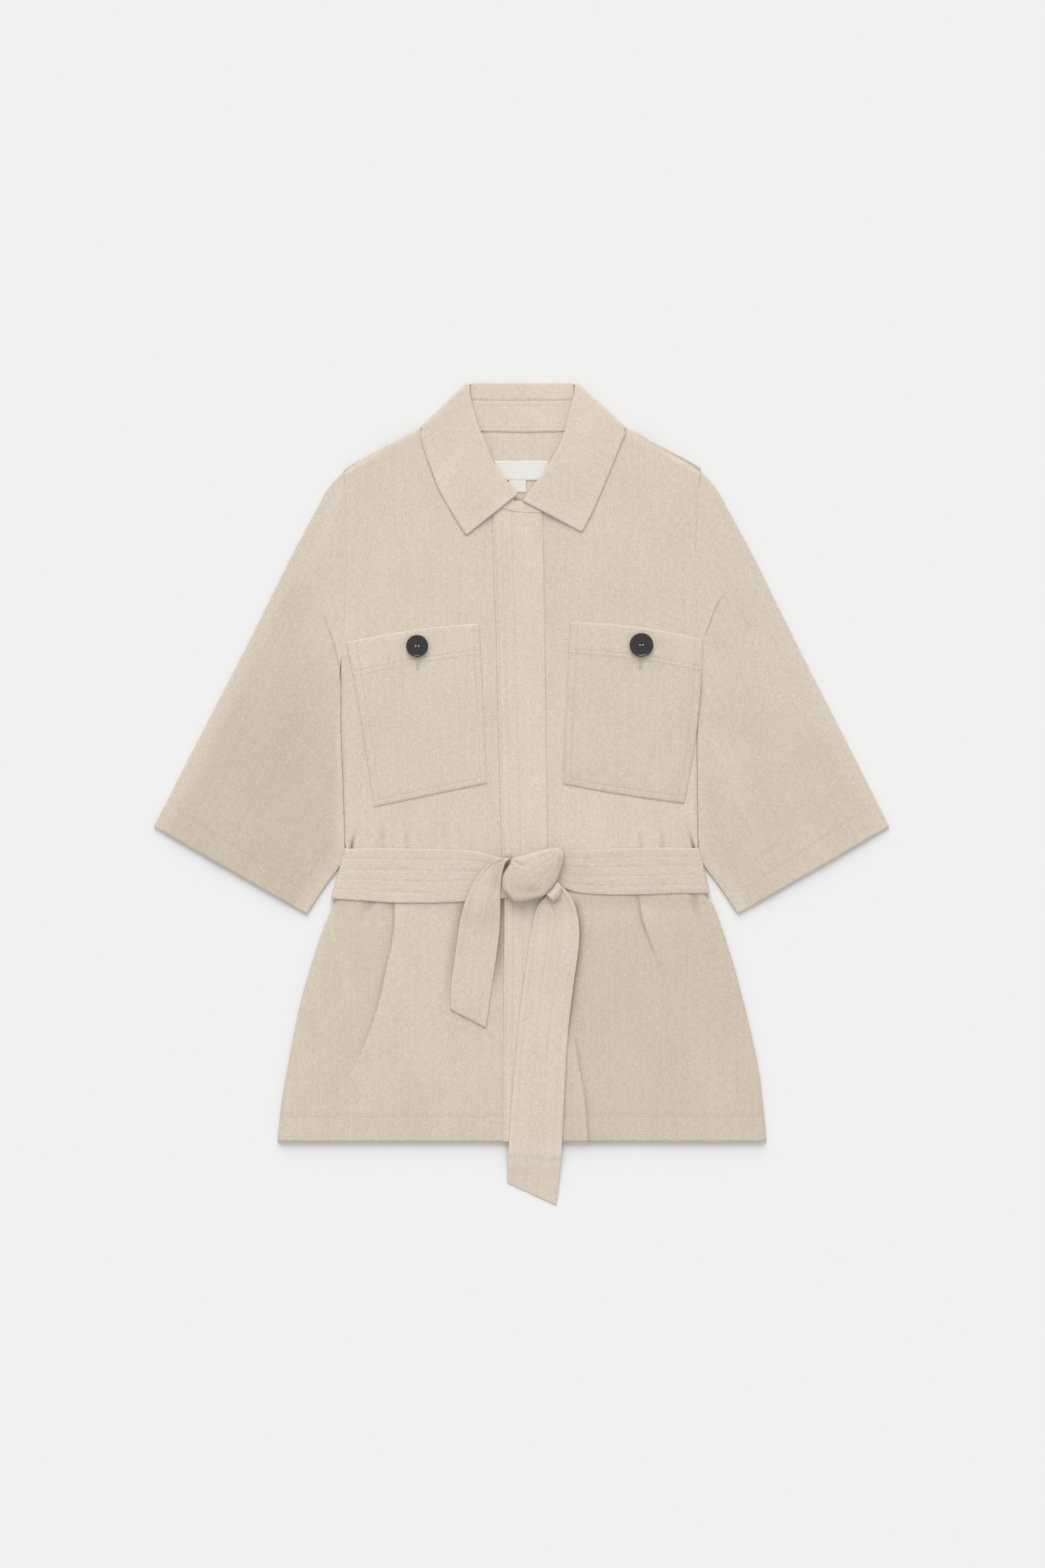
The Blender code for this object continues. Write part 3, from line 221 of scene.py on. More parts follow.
# Collar sections, from the neck seam over the roll line to the free edge
CollarRow = namedtuple(
    "CollarRow", "roll_x roll_y fall_x fall_y neck_x neck_y outer_x outer_y low high"
)
COLLAR_FRONT = {
    "right": [
        CollarRow(-3.5, 284.5, -9.0, 278.8, -18.3, 271.8, -52.5, 245.5, 5.6, 7.9),
        CollarRow(-13.0, 296.0, -19.0, 290.5, -33.5, 283.0, -59.5, 256.0, 5.5, 7.8),
        CollarRow(-26.0, 313.0, -33.0, 308.5, -49.0, 300.0, -66.5, 267.5, 5.35, 7.65),
        CollarRow(-34.5, 334.5, -42.0, 331.5, -59.5, 323.0, -78.5, 289.0, 5.2, 7.5),
        CollarRow(-40.5, 348.0, -48.0, 346.0, -63.5, 338.0, -87.0, 311.5, 5.1, 7.4),
        CollarRow(-45.5, 364.5, -52.0, 362.0, -65.5, 348.0, -93.0, 328.5, 5.0, 7.3),
        CollarRow(-49.0, 378.0, -53.5, 370.0, -66.0, 352.0, -96.0, 341.5, 4.85, 7.15),
    ],
    "left": [
        CollarRow(0.5, 278.0, 7.5, 274.8, 16.5, 270.8, 57.0, 248.5, 4.1, 7.3),
        CollarRow(11.5, 293.0, 18.0, 288.0, 32.5, 281.5, 65.5, 264.0, 4.95, 7.25),
        CollarRow(20.5, 304.5, 27.5, 300.0, 45.0, 293.0, 73.0, 280.5, 5.2, 7.5),
        CollarRow(30.0, 320.5, 37.5, 316.5, 56.0, 308.0, 79.0, 295.0, 5.15, 7.45),
        CollarRow(38.5, 338.5, 46.0, 336.0, 62.5, 328.0, 86.0, 312.0, 5.1, 7.4),
        CollarRow(44.5, 360.5, 51.5, 357.5, 65.5, 345.0, 93.5, 330.5, 5.0, 7.3),
        CollarRow(49.8, 380.0, 54.0, 372.0, 66.5, 352.0, 98.5, 341.5, 4.85, 7.15),
    ],
}
COLLAR_BACK = [
    CollarRow(-45.0, 390.4, -49.5, 373.0, -60.0, 349.0, -86.0, 337.0, 2.85, 0.55),
    CollarRow(-38.0, 390.5, -39.0, 372.7, -42.0, 345.2, -66.0, 334.0, 2.85, 0.55),
    CollarRow(-20.0, 390.5, -20.5, 372.5, -21.0, 344.7, -34.0, 331.0, 2.85, 0.55),
    CollarRow(0.0, 390.5, 0.0, 372.5, 0.0, 344.3, 0.0, 330.0, 2.85, 0.55),
    CollarRow(20.5, 390.5, 21.0, 372.5, 21.0, 344.7, 34.0, 331.0, 2.85, 0.55),
    CollarRow(39.0, 390.5, 40.0, 372.7, 42.0, 345.2, 67.0, 334.0, 2.85, 0.55),
    CollarRow(46.0, 390.4, 50.5, 373.0, 60.5, 349.0, 88.0, 337.0, 2.85, 0.55),
]
COLLAR_SIDE = {
    "right": CollarRow(-52.0, 390.2, -54.8, 375.0, -66.8, 354.6, -96.3, 348.0, 0, 0),
    "left": CollarRow(53.2, 390.2, 55.8, 375.0, 67.2, 354.6, 99.3, 347.5, 0, 0),
}
SIDE_CENTRE_Z = 3.85
STAND_FOLD_RADIUS = 1.0
ROLL_RADIUS = 1.15
FALL_FOLD_RADIUS = STAND_FOLD_RADIUS + 2 * ROLL_RADIUS
OUTER_CENTRE_Z = (ON_FRONT + GROUND) / 2
OUTER_FOLD_RADIUS = (ON_FRONT - GROUND) / 2
NECK_CENTRE_Z = 3.2
NECK_FOLD_RADIUS = 1.05
STAND_END = [
    (19.2, 268.2, 19.4, 269.6),
    (11.0, 268.2, 11.5, 273.8),
    (1.5, 268.3, 2.5, 276.6),
    (-8.0, 269.2, -6.8, 277.4),
]

# Pockets: corners and the middles of their edges, from the top side corner round
POCKET_PLACES = ("top side", "top middle", "top centre", "centre middle", "low centre",
                 "low middle", "low side", "side middle")
POCKETS = {
    "right": [(-166.0, 144.0), (-96.0, 156.3), (-41.0, 161.0), (-36.6, 87.0),
              (-33.0, 10.0), (-87.0, -1.2), (-140.0, -12.5), (-151.5, 63.0)],
    "left": [(171.5, 146.5), (108.5, 158.5), (46.5, 163.0), (42.3, 87.0),
             (39.0, 9.5), (98.0, -1.2), (154.0, -9.0), (167.0, 70.0)],
}
POCKET_WIDTH = 125.0
POCKET_DEPTH = 158.0
# Share of the depth that the turned-down band takes, its rise, and its row of stitches above
POCKET_BAND = 0.195
BAND_RISE = 0.22
BAND_ROW = 0.028
POCKET_STITCH = 7.0

Button = namedtuple("Button", "x y diameter slit_x")
BUTTONS = {
    "right": Button(-99.0, 140.0, 20.8, -98.6),
    "left": Button(113.5, 141.0, 22.4, 112.6),
}
BUTTON_THICK = 2.3
# Steps of the dished face from the rim inwards: width in shares of the radius, and drop
BUTTON_STEPS = ((0.10, 0.0), (0.06, 0.5), (0.16, 0.12), (0.30, 0.06))
HOLE_RADIUS = 0.85
HOLE_OFFSET = 1.55

# Belt: sections from the knot outwards
BeltRow = namedtuple("BeltRow", "top_x top_y low_x low_y height")
BELT = {
    "right": [
        BeltRow(-6.0, -64.0, -6.0, -97.0, ON_PLACKET),
        BeltRow(-23.0, -60.0, -23.0, -99.5, ON_PLACKET),
        BeltRow(-36.0, -56.0, -38.0, -101.3, ON_FRONT + 0.5),
        BeltRow(-50.0, -53.8, -56.0, -102.2, ON_FRONT),
        BeltRow(-80.0, -52.6, -86.0, -103.2, ON_FRONT),
        BeltRow(-110.0, -52.0, -120.0, -103.0, ON_FRONT),
        BeltRow(-140.0, -51.7, -152.0, -101.0, ON_FRONT),
    ],
    "left": [
        BeltRow(20.0, -60.0, 20.0, -83.0, ON_PLACKET),
        BeltRow(31.0, -55.5, 30.0, -85.5, ON_PLACKET),
        BeltRow(44.0, -54.0, 43.0, -90.5, ON_FRONT + 0.5),
        BeltRow(60.0, -53.6, 58.0, -94.0, ON_FRONT),
        BeltRow(85.0, -52.2, 85.0, -95.5, ON_FRONT),
        BeltRow(113.0, -51.5, 115.0, -95.3, ON_FRONT),
        BeltRow(142.0, -51.2, 148.0, -94.2, ON_FRONT),
    ],
}
BELT_SIDE = {
    "right": BeltRow(-167.5, -51.5, -181.0, -98.5, 0),
    "left": BeltRow(168.5, -51.0, 178.5, -93.5, 0),
}
# Rows of stitches at shares of the width
BELT_ROWS = (0.19, 0.40, 0.60, 0.81)

TailRow = namedtuple("TailRow", "left_x left_y right_x right_y height")
TAILS = {
    "belt_tail_short": [
        TailRow(-24.0, -61.8, -10.2, -60.6, 12.6),
        TailRow(-29.5, -66.0, -15.0, -64.6, 12.0),
        TailRow(-39.0, -75.0, -18.3, -74.0, 10.6),
        TailRow(-47.0, -87.0, -19.8, -86.0, 9.2),
        TailRow(-53.0, -101.0, -20.3, -99.0, ON_BELT),
        TailRow(-56.0, -111.0, -20.4, -110.0, 7.4),
        TailRow(-59.5, -127.0, -21.0, -126.0, 5.8),
        TailRow(-62.5, -150.0, -23.5, -149.0, ON_FRONT),
        TailRow(-66.5, -180.0, -28.3, -182.0, ON_FRONT),
        TailRow(-67.5, -204.0, -34.0, -221.5, ON_FRONT),
    ],
    "belt_tail_long": [
        TailRow(20.8, -99.6, 34.6, -84.8, 9.6),
        TailRow(15.0, -107.0, 42.0, -91.8, 8.7),
        TailRow(11.5, -118.0, 49.0, -102.5, 7.4),
        TailRow(9.0, -130.0, 53.5, -120.0, ON_PLACKET),
        TailRow(6.2, -148.0, 54.0, -144.0, ON_PLACKET),
        TailRow(1.0, -186.5, 48.3, -186.0, ON_PLACKET),
        TailRow(-4.0, -232.0, 43.2, -232.0, ON_PLACKET),
        TailRow(-8.5, -283.0, 40.4, -283.0, ON_PLACKET),
        TailRow(-12.0, -331.5, 38.0, -331.5, 6.7),
        TailRow(-12.8, -348.0, 36.6, -351.0, 3.9),
        TailRow(-13.3, -360.0, 35.2, -369.0, 1.7),
        TailRow(-13.5, -369.0, 33.0, -390.5, GROUND),
    ],
}
TAIL_CREASES = {
    "belt_tail_short": [
        Crease([(-29, -66), (-36, -84), (-40, -112), (-42, -140)], "swell", 1.0, 8, 0.2, 0.5),
        Crease([(-21, -66), (-24, -80), (-25, -100)], "dip", 0.5, 4, 0.2, 0.5),
    ],
    "belt_tail_long": [
        Crease([(27, -100.5), (28, -106), (32, -114), (39, -123.5)], "tuck_back", 1.0, 4, 0.1, 0.5),
        Crease([(30, -104), (38, -99)], "dip", 0.9, 4, 0.2, 0.3),
        Crease([(18, -104), (19, -124), (17, -150), (13, -180)], "swell", 0.7, 7, 0.1, 0.5),
        Crease([(44, -112), (43, -140), (38, -180)], "swell", 0.7, 7, 0.3, 0.5),
    ],
}
# Painted shadow on the cloth beside the belt's ends: which edge, where along Y, depth and reach
TailShade = namedtuple("TailShade", "tail edge low high depth reach")
TAIL_SHADES = [
    TailShade("belt_tail_short", "right", -200.0, -98.0, 1.1, 9.0),
    TailShade("belt_tail_short", "left", -215.0, -99.0, 0.6, 6.5),
    TailShade("belt_tail_long", "right", -250.0, -100.0, 0.75, 5.0),
]
TAIL_STITCHES = {"belt_tail_short": (0.17, 0.5, 0.83), "belt_tail_long": (0.12, 0.37, 0.63, 0.88)}
# Width, height of the curled edge and its place across, where along it ends; height, number,
# phase and length of the gathers by the knot
TailForm = namedtuple("TailForm", "width curl curl_at curl_end gather folds phase gather_end fade")
TAIL_FORMS = {
    "belt_tail_short": TailForm(42.0, 1.0, 0.03, 0.5, 0.8, 2.4, 0.0, 0.2, 0.2),
    "belt_tail_long": TailForm(53.0, 1.6, 0.97, 0.55, 1.3, 3.2, 0.6, 0.16, 0.14),
}

KNOT_OUTLINE = [(-9.0, -61.0), (1.5, -57.5), (12.5, -54.0), (22.0, -51.7), (31.0, -50.2),
                (37.8, -51.2), (41.0, -55.5), (40.0, -63.5), (37.3, -72.6), (33.7, -82.5),
                (26.5, -91.8), (19.5, -97.6), (11.0, -100.0), (3.5, -101.7), (-3.0, -102.8),
                (-7.3, -102.3), (-11.5, -98.4), (-15.7, -94.2), (-17.8, -91.5), (-18.5, -85.0),
                (-17.5, -77.5), (-14.9, -72.0), (-11.4, -66.4)]
KNOT_SLIT_PLACE = (-14.0, -67.5)
KNOT_BASE = 7.9
KNOT_EDGE_Z = 12.5
KNOT_TOP = 18.6
KNOT_WEAVE_TURN = 28.0
KNOT_CREASES = [
    Crease([(34, -53), (12, -61.5), (-6, -71), (-13, -78)], "line", 0.12, 0.8, 0.2, 0.2),
    Crease([(36, -54.5), (17, -68), (0, -80), (-12, -92)], "line", 0.14, 0.8, 0.2, 0.15),
    Crease([(37.5, -57), (24, -74), (11, -87), (1, -98)], "line", 0.14, 0.8, 0.2, 0.15),
    Crease([(36, -53), (35.5, -65), (30, -77), (20, -90)], "tuck", 0.7, 2.6, 0.15, 0.3),
    Crease([(-9, -62), (-2, -66.5), (6, -70)], "dip", 0.7, 3.0, 0.0, 0.5),
    Crease([(30, -58), (8, -73), (-6, -86)], "swell", 0.5, 8, 0.3, 0.3),
    Crease([(18, -57), (4, -63), (-4, -68)], "swell", 0.4, 5, 0.3, 0.3),
    Crease([(26, -86), (10, -92), (-12, -88)], "dip", 0.35, 5, 0.3, 0.4),
]
KNOT_LOOP_Z = 12.2
# Small turned strip between the knot and the long tail: its inner, then its outer edge
KNOT_LOOP = [((33.5, -83.0), (38.5, -89.0)), ((29.5, -88.5), (35.5, -96.5)),
             ((23.0, -94.5), (30.0, -101.5))]

Label = namedtuple("Label", "left right low top")
LABELS = {
    "neck_label": Label(-26.0, 25.5, 297.5, 315.5),
    "care_label": Label(-12.0, 4.0, 286.0, 297.2),
}

# Linen: pitch of its threads, and noise fields of its tone with their grains to a metre
THREAD_PITCH = 0.00072
SLUB_LEVEL = 0.62
ToneField = namedtuple("ToneField", "name along_u along_v detail strength")
TONE_FIELDS = [
    ToneField("warp", 1300.0, 190.0, 2.0, 0.36),
    ToneField("weft", 160.0, 1300.0, 2.0, 0.26),
    ToneField("speck", 900.0, 900.0, 1.0, 0.26),
    ToneField("streak", 330.0, 16.0, 3.0, 0.13),
    ToneField("cloud", 26.0, 17.0, 3.0, 0.10),
    ToneField("broad", 7.0, 5.0, 1.0, 0.08),
]
# Share of red, green and blue that full painted shade takes away, so that the shade looks warm
PAINTED_SHADE_LOSS = {"X": 0.38, "Y": 0.42, "Z": 0.47}

# Light: a broad sun from above the collar, and a pale room
SUN_STRENGTH = 1.91
SUN_SPREAD = 46.0
SUN_DIRECTION = (0.04, -1.0, -0.65)
ROOM_STRENGTH = 0.675

# Camera over the middle of the photo, and the size of what it takes in
VIEW_CENTRE = (0.8, 9.3)
VIEW_HEIGHT = 1488.8
LENS = 85.0
SENSOR = 36.0


def linear(red, green, blue):
    """Linear colour of a screen colour from 0 to 255."""
    shares = [value / 255 for value in (red, green, blue)]
    return tuple(share / 12.92 if share <= 0.04045 else ((share + 0.055) / 1.055) ** 2.4
                 for share in shares)


# One linen in three tones: the body's own, and two lighter copies with painted light, for the back,
# collar and placket, and for the belt, its knot and long tail
LINEN_BODY = linear(215, 202, 186)
LINEN_PAINTED_LIGHTER = linear(219, 206, 191)
BELT_LINEN_PAINTED_LIGHTER = linear(217, 204, 189)
LABEL_WHITE = linear(233, 231, 225)
THREAD = linear(226, 214, 198)
BUTTON_BLACK = (0.006, 0.006, 0.007)
FLOOR_PALE = (0.87, 0.87, 0.87)


# Curves and heights

def density(full):
    """The full number, as given."""
    return full


def smoothstep(t):
    t = np.clip(t, 0.0, 1.0)
    return t * t * (3 - 2 * t)


def lerp(a, b, t):
    return a + (b - a) * t


def bell(t):
    """Bell curve: 1 at 0, about a third at 1 and nearly 0 at 2."""
    return np.exp(-t ** 2)


def unit(vector):
    vector = np.asarray(vector, float)
    return vector / (np.linalg.norm(vector) + TINY)


def spline(rows, steps):
    """Rows of numbers with smooth rows added, steps to each span."""
    rows = np.array(rows, float)
    padded = np.vstack([rows[0], rows, rows[-1]])
    result = []
    for index in range(len(rows) - 1):
        p0, p1, p2, p3 = padded[index:index + 4]
        for t in np.arange(steps) / steps:
            result.append(0.5 * (2 * p1 + (p2 - p0) * t + (2 * p0 - 5 * p1 + 4 * p2 - p3) * t ** 2
                                 + (3 * p1 - p0 - 3 * p2 + p3) * t ** 3))
    result.append(rows[-1])
    return np.array(result)


def lengths_along(points, axis=0):
    """Distance from the first point along one axis of a path or grid of points."""
    steps = np.linalg.norm(np.diff(points, axis=axis), axis=-1)
    return np.pad(np.cumsum(steps, axis=axis), [(int(k == axis), 0) for k in range(steps.ndim)])


def at_lengths(points, lengths, wanted):
    return np.stack([np.interp(wanted, lengths, column) for column in points.T], axis=1)


def along(points, count=None, step=None):
    """Points at even distances along a path."""
    points = np.array(points, float)
    lengths = lengths_along(points)
    if step:
        count = max(2, int(round(lengths[-1] / step)) + 1)
    return at_lengths(points, lengths, np.linspace(0.0, lengths[-1], count))


def table_curve(rows, key, field, value):
    """A field of a table at values of its key, along a smooth curve through its rows."""
    fine = spline([[getattr(row, key), getattr(row, field)] for row in rows], 6)
    fine = fine[np.argsort(fine[:, 0])]
    return np.interp(value, fine[:, 0], fine[:, 1])


def side_x(side, y):
    return table_curve(BODY_EDGES, "y", side + "_x", y)


def shoulder_y(side, x):
    return table_curve(SHOULDER, side + "_x", "y", x)


def waves(x, y, seed, shortest, longest, count, upright):
    """Random smooth field of height about 1; upright stretches its swells along Y."""
    draw = np.random.default_rng(seed)
    total = np.zeros_like(x)
    for _ in range(count):
        length = math.exp(draw.uniform(math.log(shortest), math.log(longest)))
        angle = draw.uniform(0, math.pi)
        turn = 2 * math.pi / length
        phase = draw.uniform(0, 2 * math.pi)
        total += np.sin(turn * (x * math.cos(angle) + y * math.sin(angle) / upright) + phase)
    return total / math.sqrt(count)


def swell_at(row, x, y):
    """Height of one row of a table of swells, at places of the jacket."""
    return row.height * bell((x - row.x) / row.reach_x) * bell((y - row.y) / row.reach_y)


def off_ground(z, start=4.0):
    """0 for cloth that lies on the ground and 1 for the layers on top."""
    return smoothstep((z - start) / 1.4)


def lie(x, y):
    """Slow unevenness of the way the jacket lies, shared by all its upper layers."""
    total = 0.22 * waves(x, y, 11, 45.0, 130.0, 16, 2.6)
    return sum((swell_at(row, x, y) for row in SWELLS), total)


def crumple(x, y, seed):
    """Fine unevenness of washed linen."""
    return 0.075 * waves(x, y, seed, 8.0, 34.0, 26, 1.7)


def crease_form(crease, share):
    """Height, and painted shade, of a crease at shares of its reach to one side of its path; a swell
    gets painted light.
    """
    strength = lerp(0.35, 1.0, crease.height / FULL_CREASE)
    if crease.form.startswith("tuck"):
        share = -share if crease.form == "tuck_back" else share
        gap = share * crease.reach
        height = lerp(-0.4 * bell(share / 0.8), 0.6 * bell(share), smoothstep(gap / 3.0 + 0.5))
        under = 0.42 * bell(gap / 1.3) + 0.22 * bell(share / 0.4)
        over = 0.64 * bell(gap / 0.8) - 0.10 * smoothstep(gap / 3) * bell(share)
        return height, np.where(gap < 0, under, over) * strength
    if crease.form == "dip":
        lips = bell((np.abs(share) - 1.3) * math.sqrt(3))
        return 0.25 * lips - bell(share * math.sqrt(2)), 0.4 * bell(share / 0.5) * strength
    if crease.form == "line":
        return -bell(share), 0.12 * bell(share)
    if crease.form == "slit":
        return -bell(share), SLIT_DEPTH * bell(share * 1.2)
    return bell(share), -0.08 * bell(share)


def crease_relief(creases, x, y):
    """Height, and painted shade, that creases add at points."""
    total = np.zeros_like(x)
    trough = np.zeros_like(x)
    for crease in creases:
        path = along(spline(crease.path, 8), count=60)
        low = path.min(axis=0) - 3.2 * crease.reach
        high = path.max(axis=0) + 3.2 * crease.reach
        near = (x > low[0]) & (x < high[0]) & (y > low[1]) & (y < high[1])
        if not near.any():
            continue
        here = np.stack([x[near], y[near]], axis=1)
        apart = here[:, None, :] - path[None, :, :]
        nearest = np.argmin((apart ** 2).sum(axis=2), axis=1)
        offset = apart[np.arange(len(here)), nearest]
        tangent = np.gradient(path, axis=0)
        tangent = (tangent / np.linalg.norm(tangent, axis=1)[:, None])[nearest]
        side = tangent[:, 0] * offset[:, 1] - tangent[:, 1] * offset[:, 0]
        fade = bell((offset * tangent).sum(axis=1) / CREASE_TIP)
        t = nearest / (len(path) - 1)
        for from_end, faded in ((t, crease.start), (1 - t, crease.end)):
            if faded:
                fade = fade * smoothstep(from_end / faded)
        height, depth = crease_form(crease, side / crease.reach)
        total[near] += fade * height * crease.height
        trough[near] += fade * depth
    return total, trough


def groove(distance, width=0.9, depth=0.22):
    """Height of cloth pulled in along a row of stitches, and the painted shade in its groove."""
    dent = bell(distance / width)
    return -depth * dent, 0.09 * dent


def pressed(*distances, reach=2.2, drop=0.4):
    """Height that cloth loses where its sewn edges are pressed down."""
    nearest = np.minimum.reduce(np.broadcast_arrays(*distances))
    return -drop * bell(nearest / reach)


def knot_slit(plan):
    """Painted shade in the deep slit between the knot and the short tail."""
    x = plan[..., 0] - KNOT_SLIT_PLACE[0]
    y = plan[..., 1] - KNOT_SLIT_PLACE[1]
    return SLIT_DEPTH * bell(((x * 0.91 - y * 0.42) / 4.5) ** 2 + ((x * 0.42 + y * 0.91) / 9.0) ** 2)


def tail_shade(x, y):
    """Painted shadow beside the hanging ends of the belt."""
    total = np.zeros_like(x)
    for row in TAIL_SHADES:
        edge = table_curve(TAILS[row.tail], row.edge + "_y", row.edge + "_x", y)
        beside = x - edge if row.edge == "right" else edge - x
        held = smoothstep((y - row.low) / 60.0) * smoothstep((row.high - y) / 6.0)
        total = total + row.depth * held * bell(beside / row.reach)
    return total


def back_height(x, y, spread=0.0):
    """Middle height of the back, which lifts off the ground above the belt and by the neck."""
    over_belt = np.minimum(y - (BELT_ZONE[0] - BELT_RAMP), BELT_ZONE[1] + BELT_RAMP - y) / BELT_RAMP
    over_neck = np.minimum(y - NECK_LIFT_Y, NECK_ZONE_X + spread + NECK_RAMP - np.abs(x)) / NECK_RAMP
    return GROUND + BACK_LIFT * np.clip(np.maximum(over_belt, over_neck), 0.0, 1.0)


# Meshes

def place_mesh(name, points, faces, finish, uv=None, trough=None):
    """Closed mesh in metres, smooth, with its faces pointing out."""
    mesh = bpy.data.meshes.new(name)
    mesh.from_pydata((np.asarray(points, float) * MM).tolist(), [], faces)
    if uv is not None:
        layer = mesh.uv_layers.new(name="cloth")
        layer.data.foreach_set("uv", (np.asarray(uv, float) * MM).astype(np.float32).ravel())
    # Painted shade, and painted light where it is negative, that the finish multiplies into the
    # colour
    if trough is not None:
        held = mesh.attributes.new("trough", "FLOAT", "POINT")
        held.data.foreach_set("value", np.asarray(trough, np.float32).ravel())
    body = bmesh.new()
    body.from_mesh(mesh)
    bmesh.ops.recalc_face_normals(body, faces=body.faces)
    body.to_mesh(mesh)
    body.free()
    mesh.shade_smooth()
    mesh.materials.append(finish)
    piece = bpy.data.objects.new(name, mesh)
    bpy.context.scene.collection.objects.link(piece)
    return piece


def edge_loops(rows, columns, ring):
    """Places of a grid's edge points, in order: one loop, or the two ends of a tube."""
    if ring:
        return [[(i, j) for j in range(columns)] for i in (0, rows - 1)]
    return [[(0, j) for j in range(columns)]
            + [(i, columns - 1) for i in range(1, rows)]
            + [(rows - 1, j) for j in range(columns - 2, -1, -1)]
            + [(i, 0) for i in range(rows - 2, 0, -1)]]


def shell(name, grid, finish, uv=None, trough=0.0, thick=CLOTH, ring=False):
    """Cloth of a thickness on a grid of points, with rounded edges; a ring closes on itself."""
    rows, columns, _ = grid.shape
    uv = grid[:, :, :2] if uv is None else uv
    down = np.gradient(grid, axis=0)
    if ring:
        wrapped = np.concatenate([grid[:, -1:], grid, grid[:, :1]], axis=1)
        across = wrapped[:, 2:] - wrapped[:, :-2]
    else:
        across = np.gradient(grid, axis=1)
    normal = np.cross(down, across)
    normal /= np.linalg.norm(normal, axis=2)[:, :, None] + TINY
    half = thick / 2
    points = [(grid + normal * half).reshape(-1, 3), (grid - normal * half).reshape(-1, 3)]
    # Painted shade on steep faces, to tame their highlights, plus what the piece gives
    dark = (STEEP_SHADE * (1 - np.abs(normal[:, :, 2])) + trough).ravel()
    shade = [dark, dark]
    under = rows * columns
    faces = []
    face_uv = []

    def uv_at(i, j):
        return uv[i, min(j, uv.shape[1] - 1)]

    for i in range(rows - 1):
        for j in range(columns if ring else columns - 1):
            k = (j + 1) % columns
            a, b = i * columns + j, (i + 1) * columns + j
            c, d = (i + 1) * columns + k, i * columns + k
            corners = [uv_at(i, j), uv_at(i + 1, j), uv_at(i + 1, j + 1), uv_at(i, j + 1)]
            faces += [(a, b, c, d), (under + d, under + c, under + b, under + a)]
            face_uv += corners + corners[::-1]
    # Rounded rim: one more loop of points, out from the edge
    count = 2 * under
    for loop in edge_loops(rows, columns, ring):
        spots = []
        for i, j in loop:
            out = np.zeros(3)
            if i == 0:
                out -= unit(down[0, j])
            if i == rows - 1:
                out += unit(down[-1, j])
            if not ring and j == 0:
                out -= unit(across[i, 0])
            if not ring and j == columns - 1:
                out += unit(across[i, -1])
            spots.append(grid[i, j] + unit(out) * half * RIM_ROUND)
        points.append(np.array(spots))
        for index, (i, j) in enumerate(loop):
            after = (index + 1) % len(loop)
            i2, j2 = loop[after]
            top_a, top_b = i * columns + j, i2 * columns + j2
            mid_a, mid_b = count + index, count + after
            faces += [(top_a, top_b, mid_b, mid_a), (mid_a, mid_b, under + top_b, under + top_a)]
            face_uv += [uv_at(i, j), uv_at(i2, j2), uv_at(i2, j2), uv_at(i, j)] * 2
        # Painted shade on the rounded rim
        shade.append(np.full(len(loop), RIM_SHADE))
        count += len(loop)
    return place_mesh(name, np.concatenate(points), faces, finish, np.array(face_uv),
                      np.concatenate(shade))


def threads(name, lines, finish, pitch=2.4, stitch=1.6, radius=0.22):
    """Sewing thread: one short raised stitch after another along each line."""
    points = []
    faces = []
    turns = 2 * math.pi * np.arange(THREAD_SIDES) / THREAD_SIDES
    for line in lines:
        line = np.asarray(line, float)
        lengths = lengths_along(line)
        for start in np.arange(pitch / 2, lengths[-1] - stitch, pitch):
            spots = at_lengths(line, lengths, start + stitch * np.array([0.0, 0.3, 0.7, 1.0]))
            tangent = unit(spots[-1] - spots[0])
            aside = np.cross(tangent, (0.0, 0.0, 1.0))
            up = np.cross(aside, tangent)
            first = len(points)
            last = first + 1 + 2 * THREAD_SIDES
            points.append(spots[0] - up * radius * 0.8)
            for spot in spots[1:3]:
                points += [spot + (aside * math.cos(turn) + up * math.sin(turn)) * radius
                           for turn in turns]
            points.append(spots[3] - up * radius * 0.8)
            for k in range(THREAD_SIDES):
                a = first + 1 + k
                b = first + 1 + (k + 1) % THREAD_SIDES
                faces += [(first, b, a), (a, b, b + THREAD_SIDES, a + THREAD_SIDES),
                          (last, a + THREAD_SIDES, b + THREAD_SIDES)]
    return place_mesh(name, np.array(points), faces, finish)


# Finishes

class Wire:
    """A node's output whose arithmetic adds Math nodes."""

    def __init__(self, finish, socket):
        self.finish = finish
        self.socket = socket

    def maths(self, operation, *values):
        return self.finish.node("ShaderNodeMath", {"operation": operation}, dict(enumerate(values)))

    def __add__(self, other):
        return self.maths("ADD", self, other)

    def __sub__(self, other):
        return self.maths("SUBTRACT", self, other)

    def __rsub__(self, other):
        return self.maths("SUBTRACT", other, self)

    def __mul__(self, other):
        return self.maths("MULTIPLY", self, other)

    __radd__ = __add__
    __rmul__ = __mul__

    def above(self, level):
        """How far the value is over a level, and 0 below it."""
        return self.maths("MAXIMUM", self - level, 0.0)

    def sine(self):
        return self.maths("SINE", self)

    def part(self, name):
        """One coordinate of a vector."""
        return self.finish.node("ShaderNodeSeparateXYZ", {}, {0: self}, name)


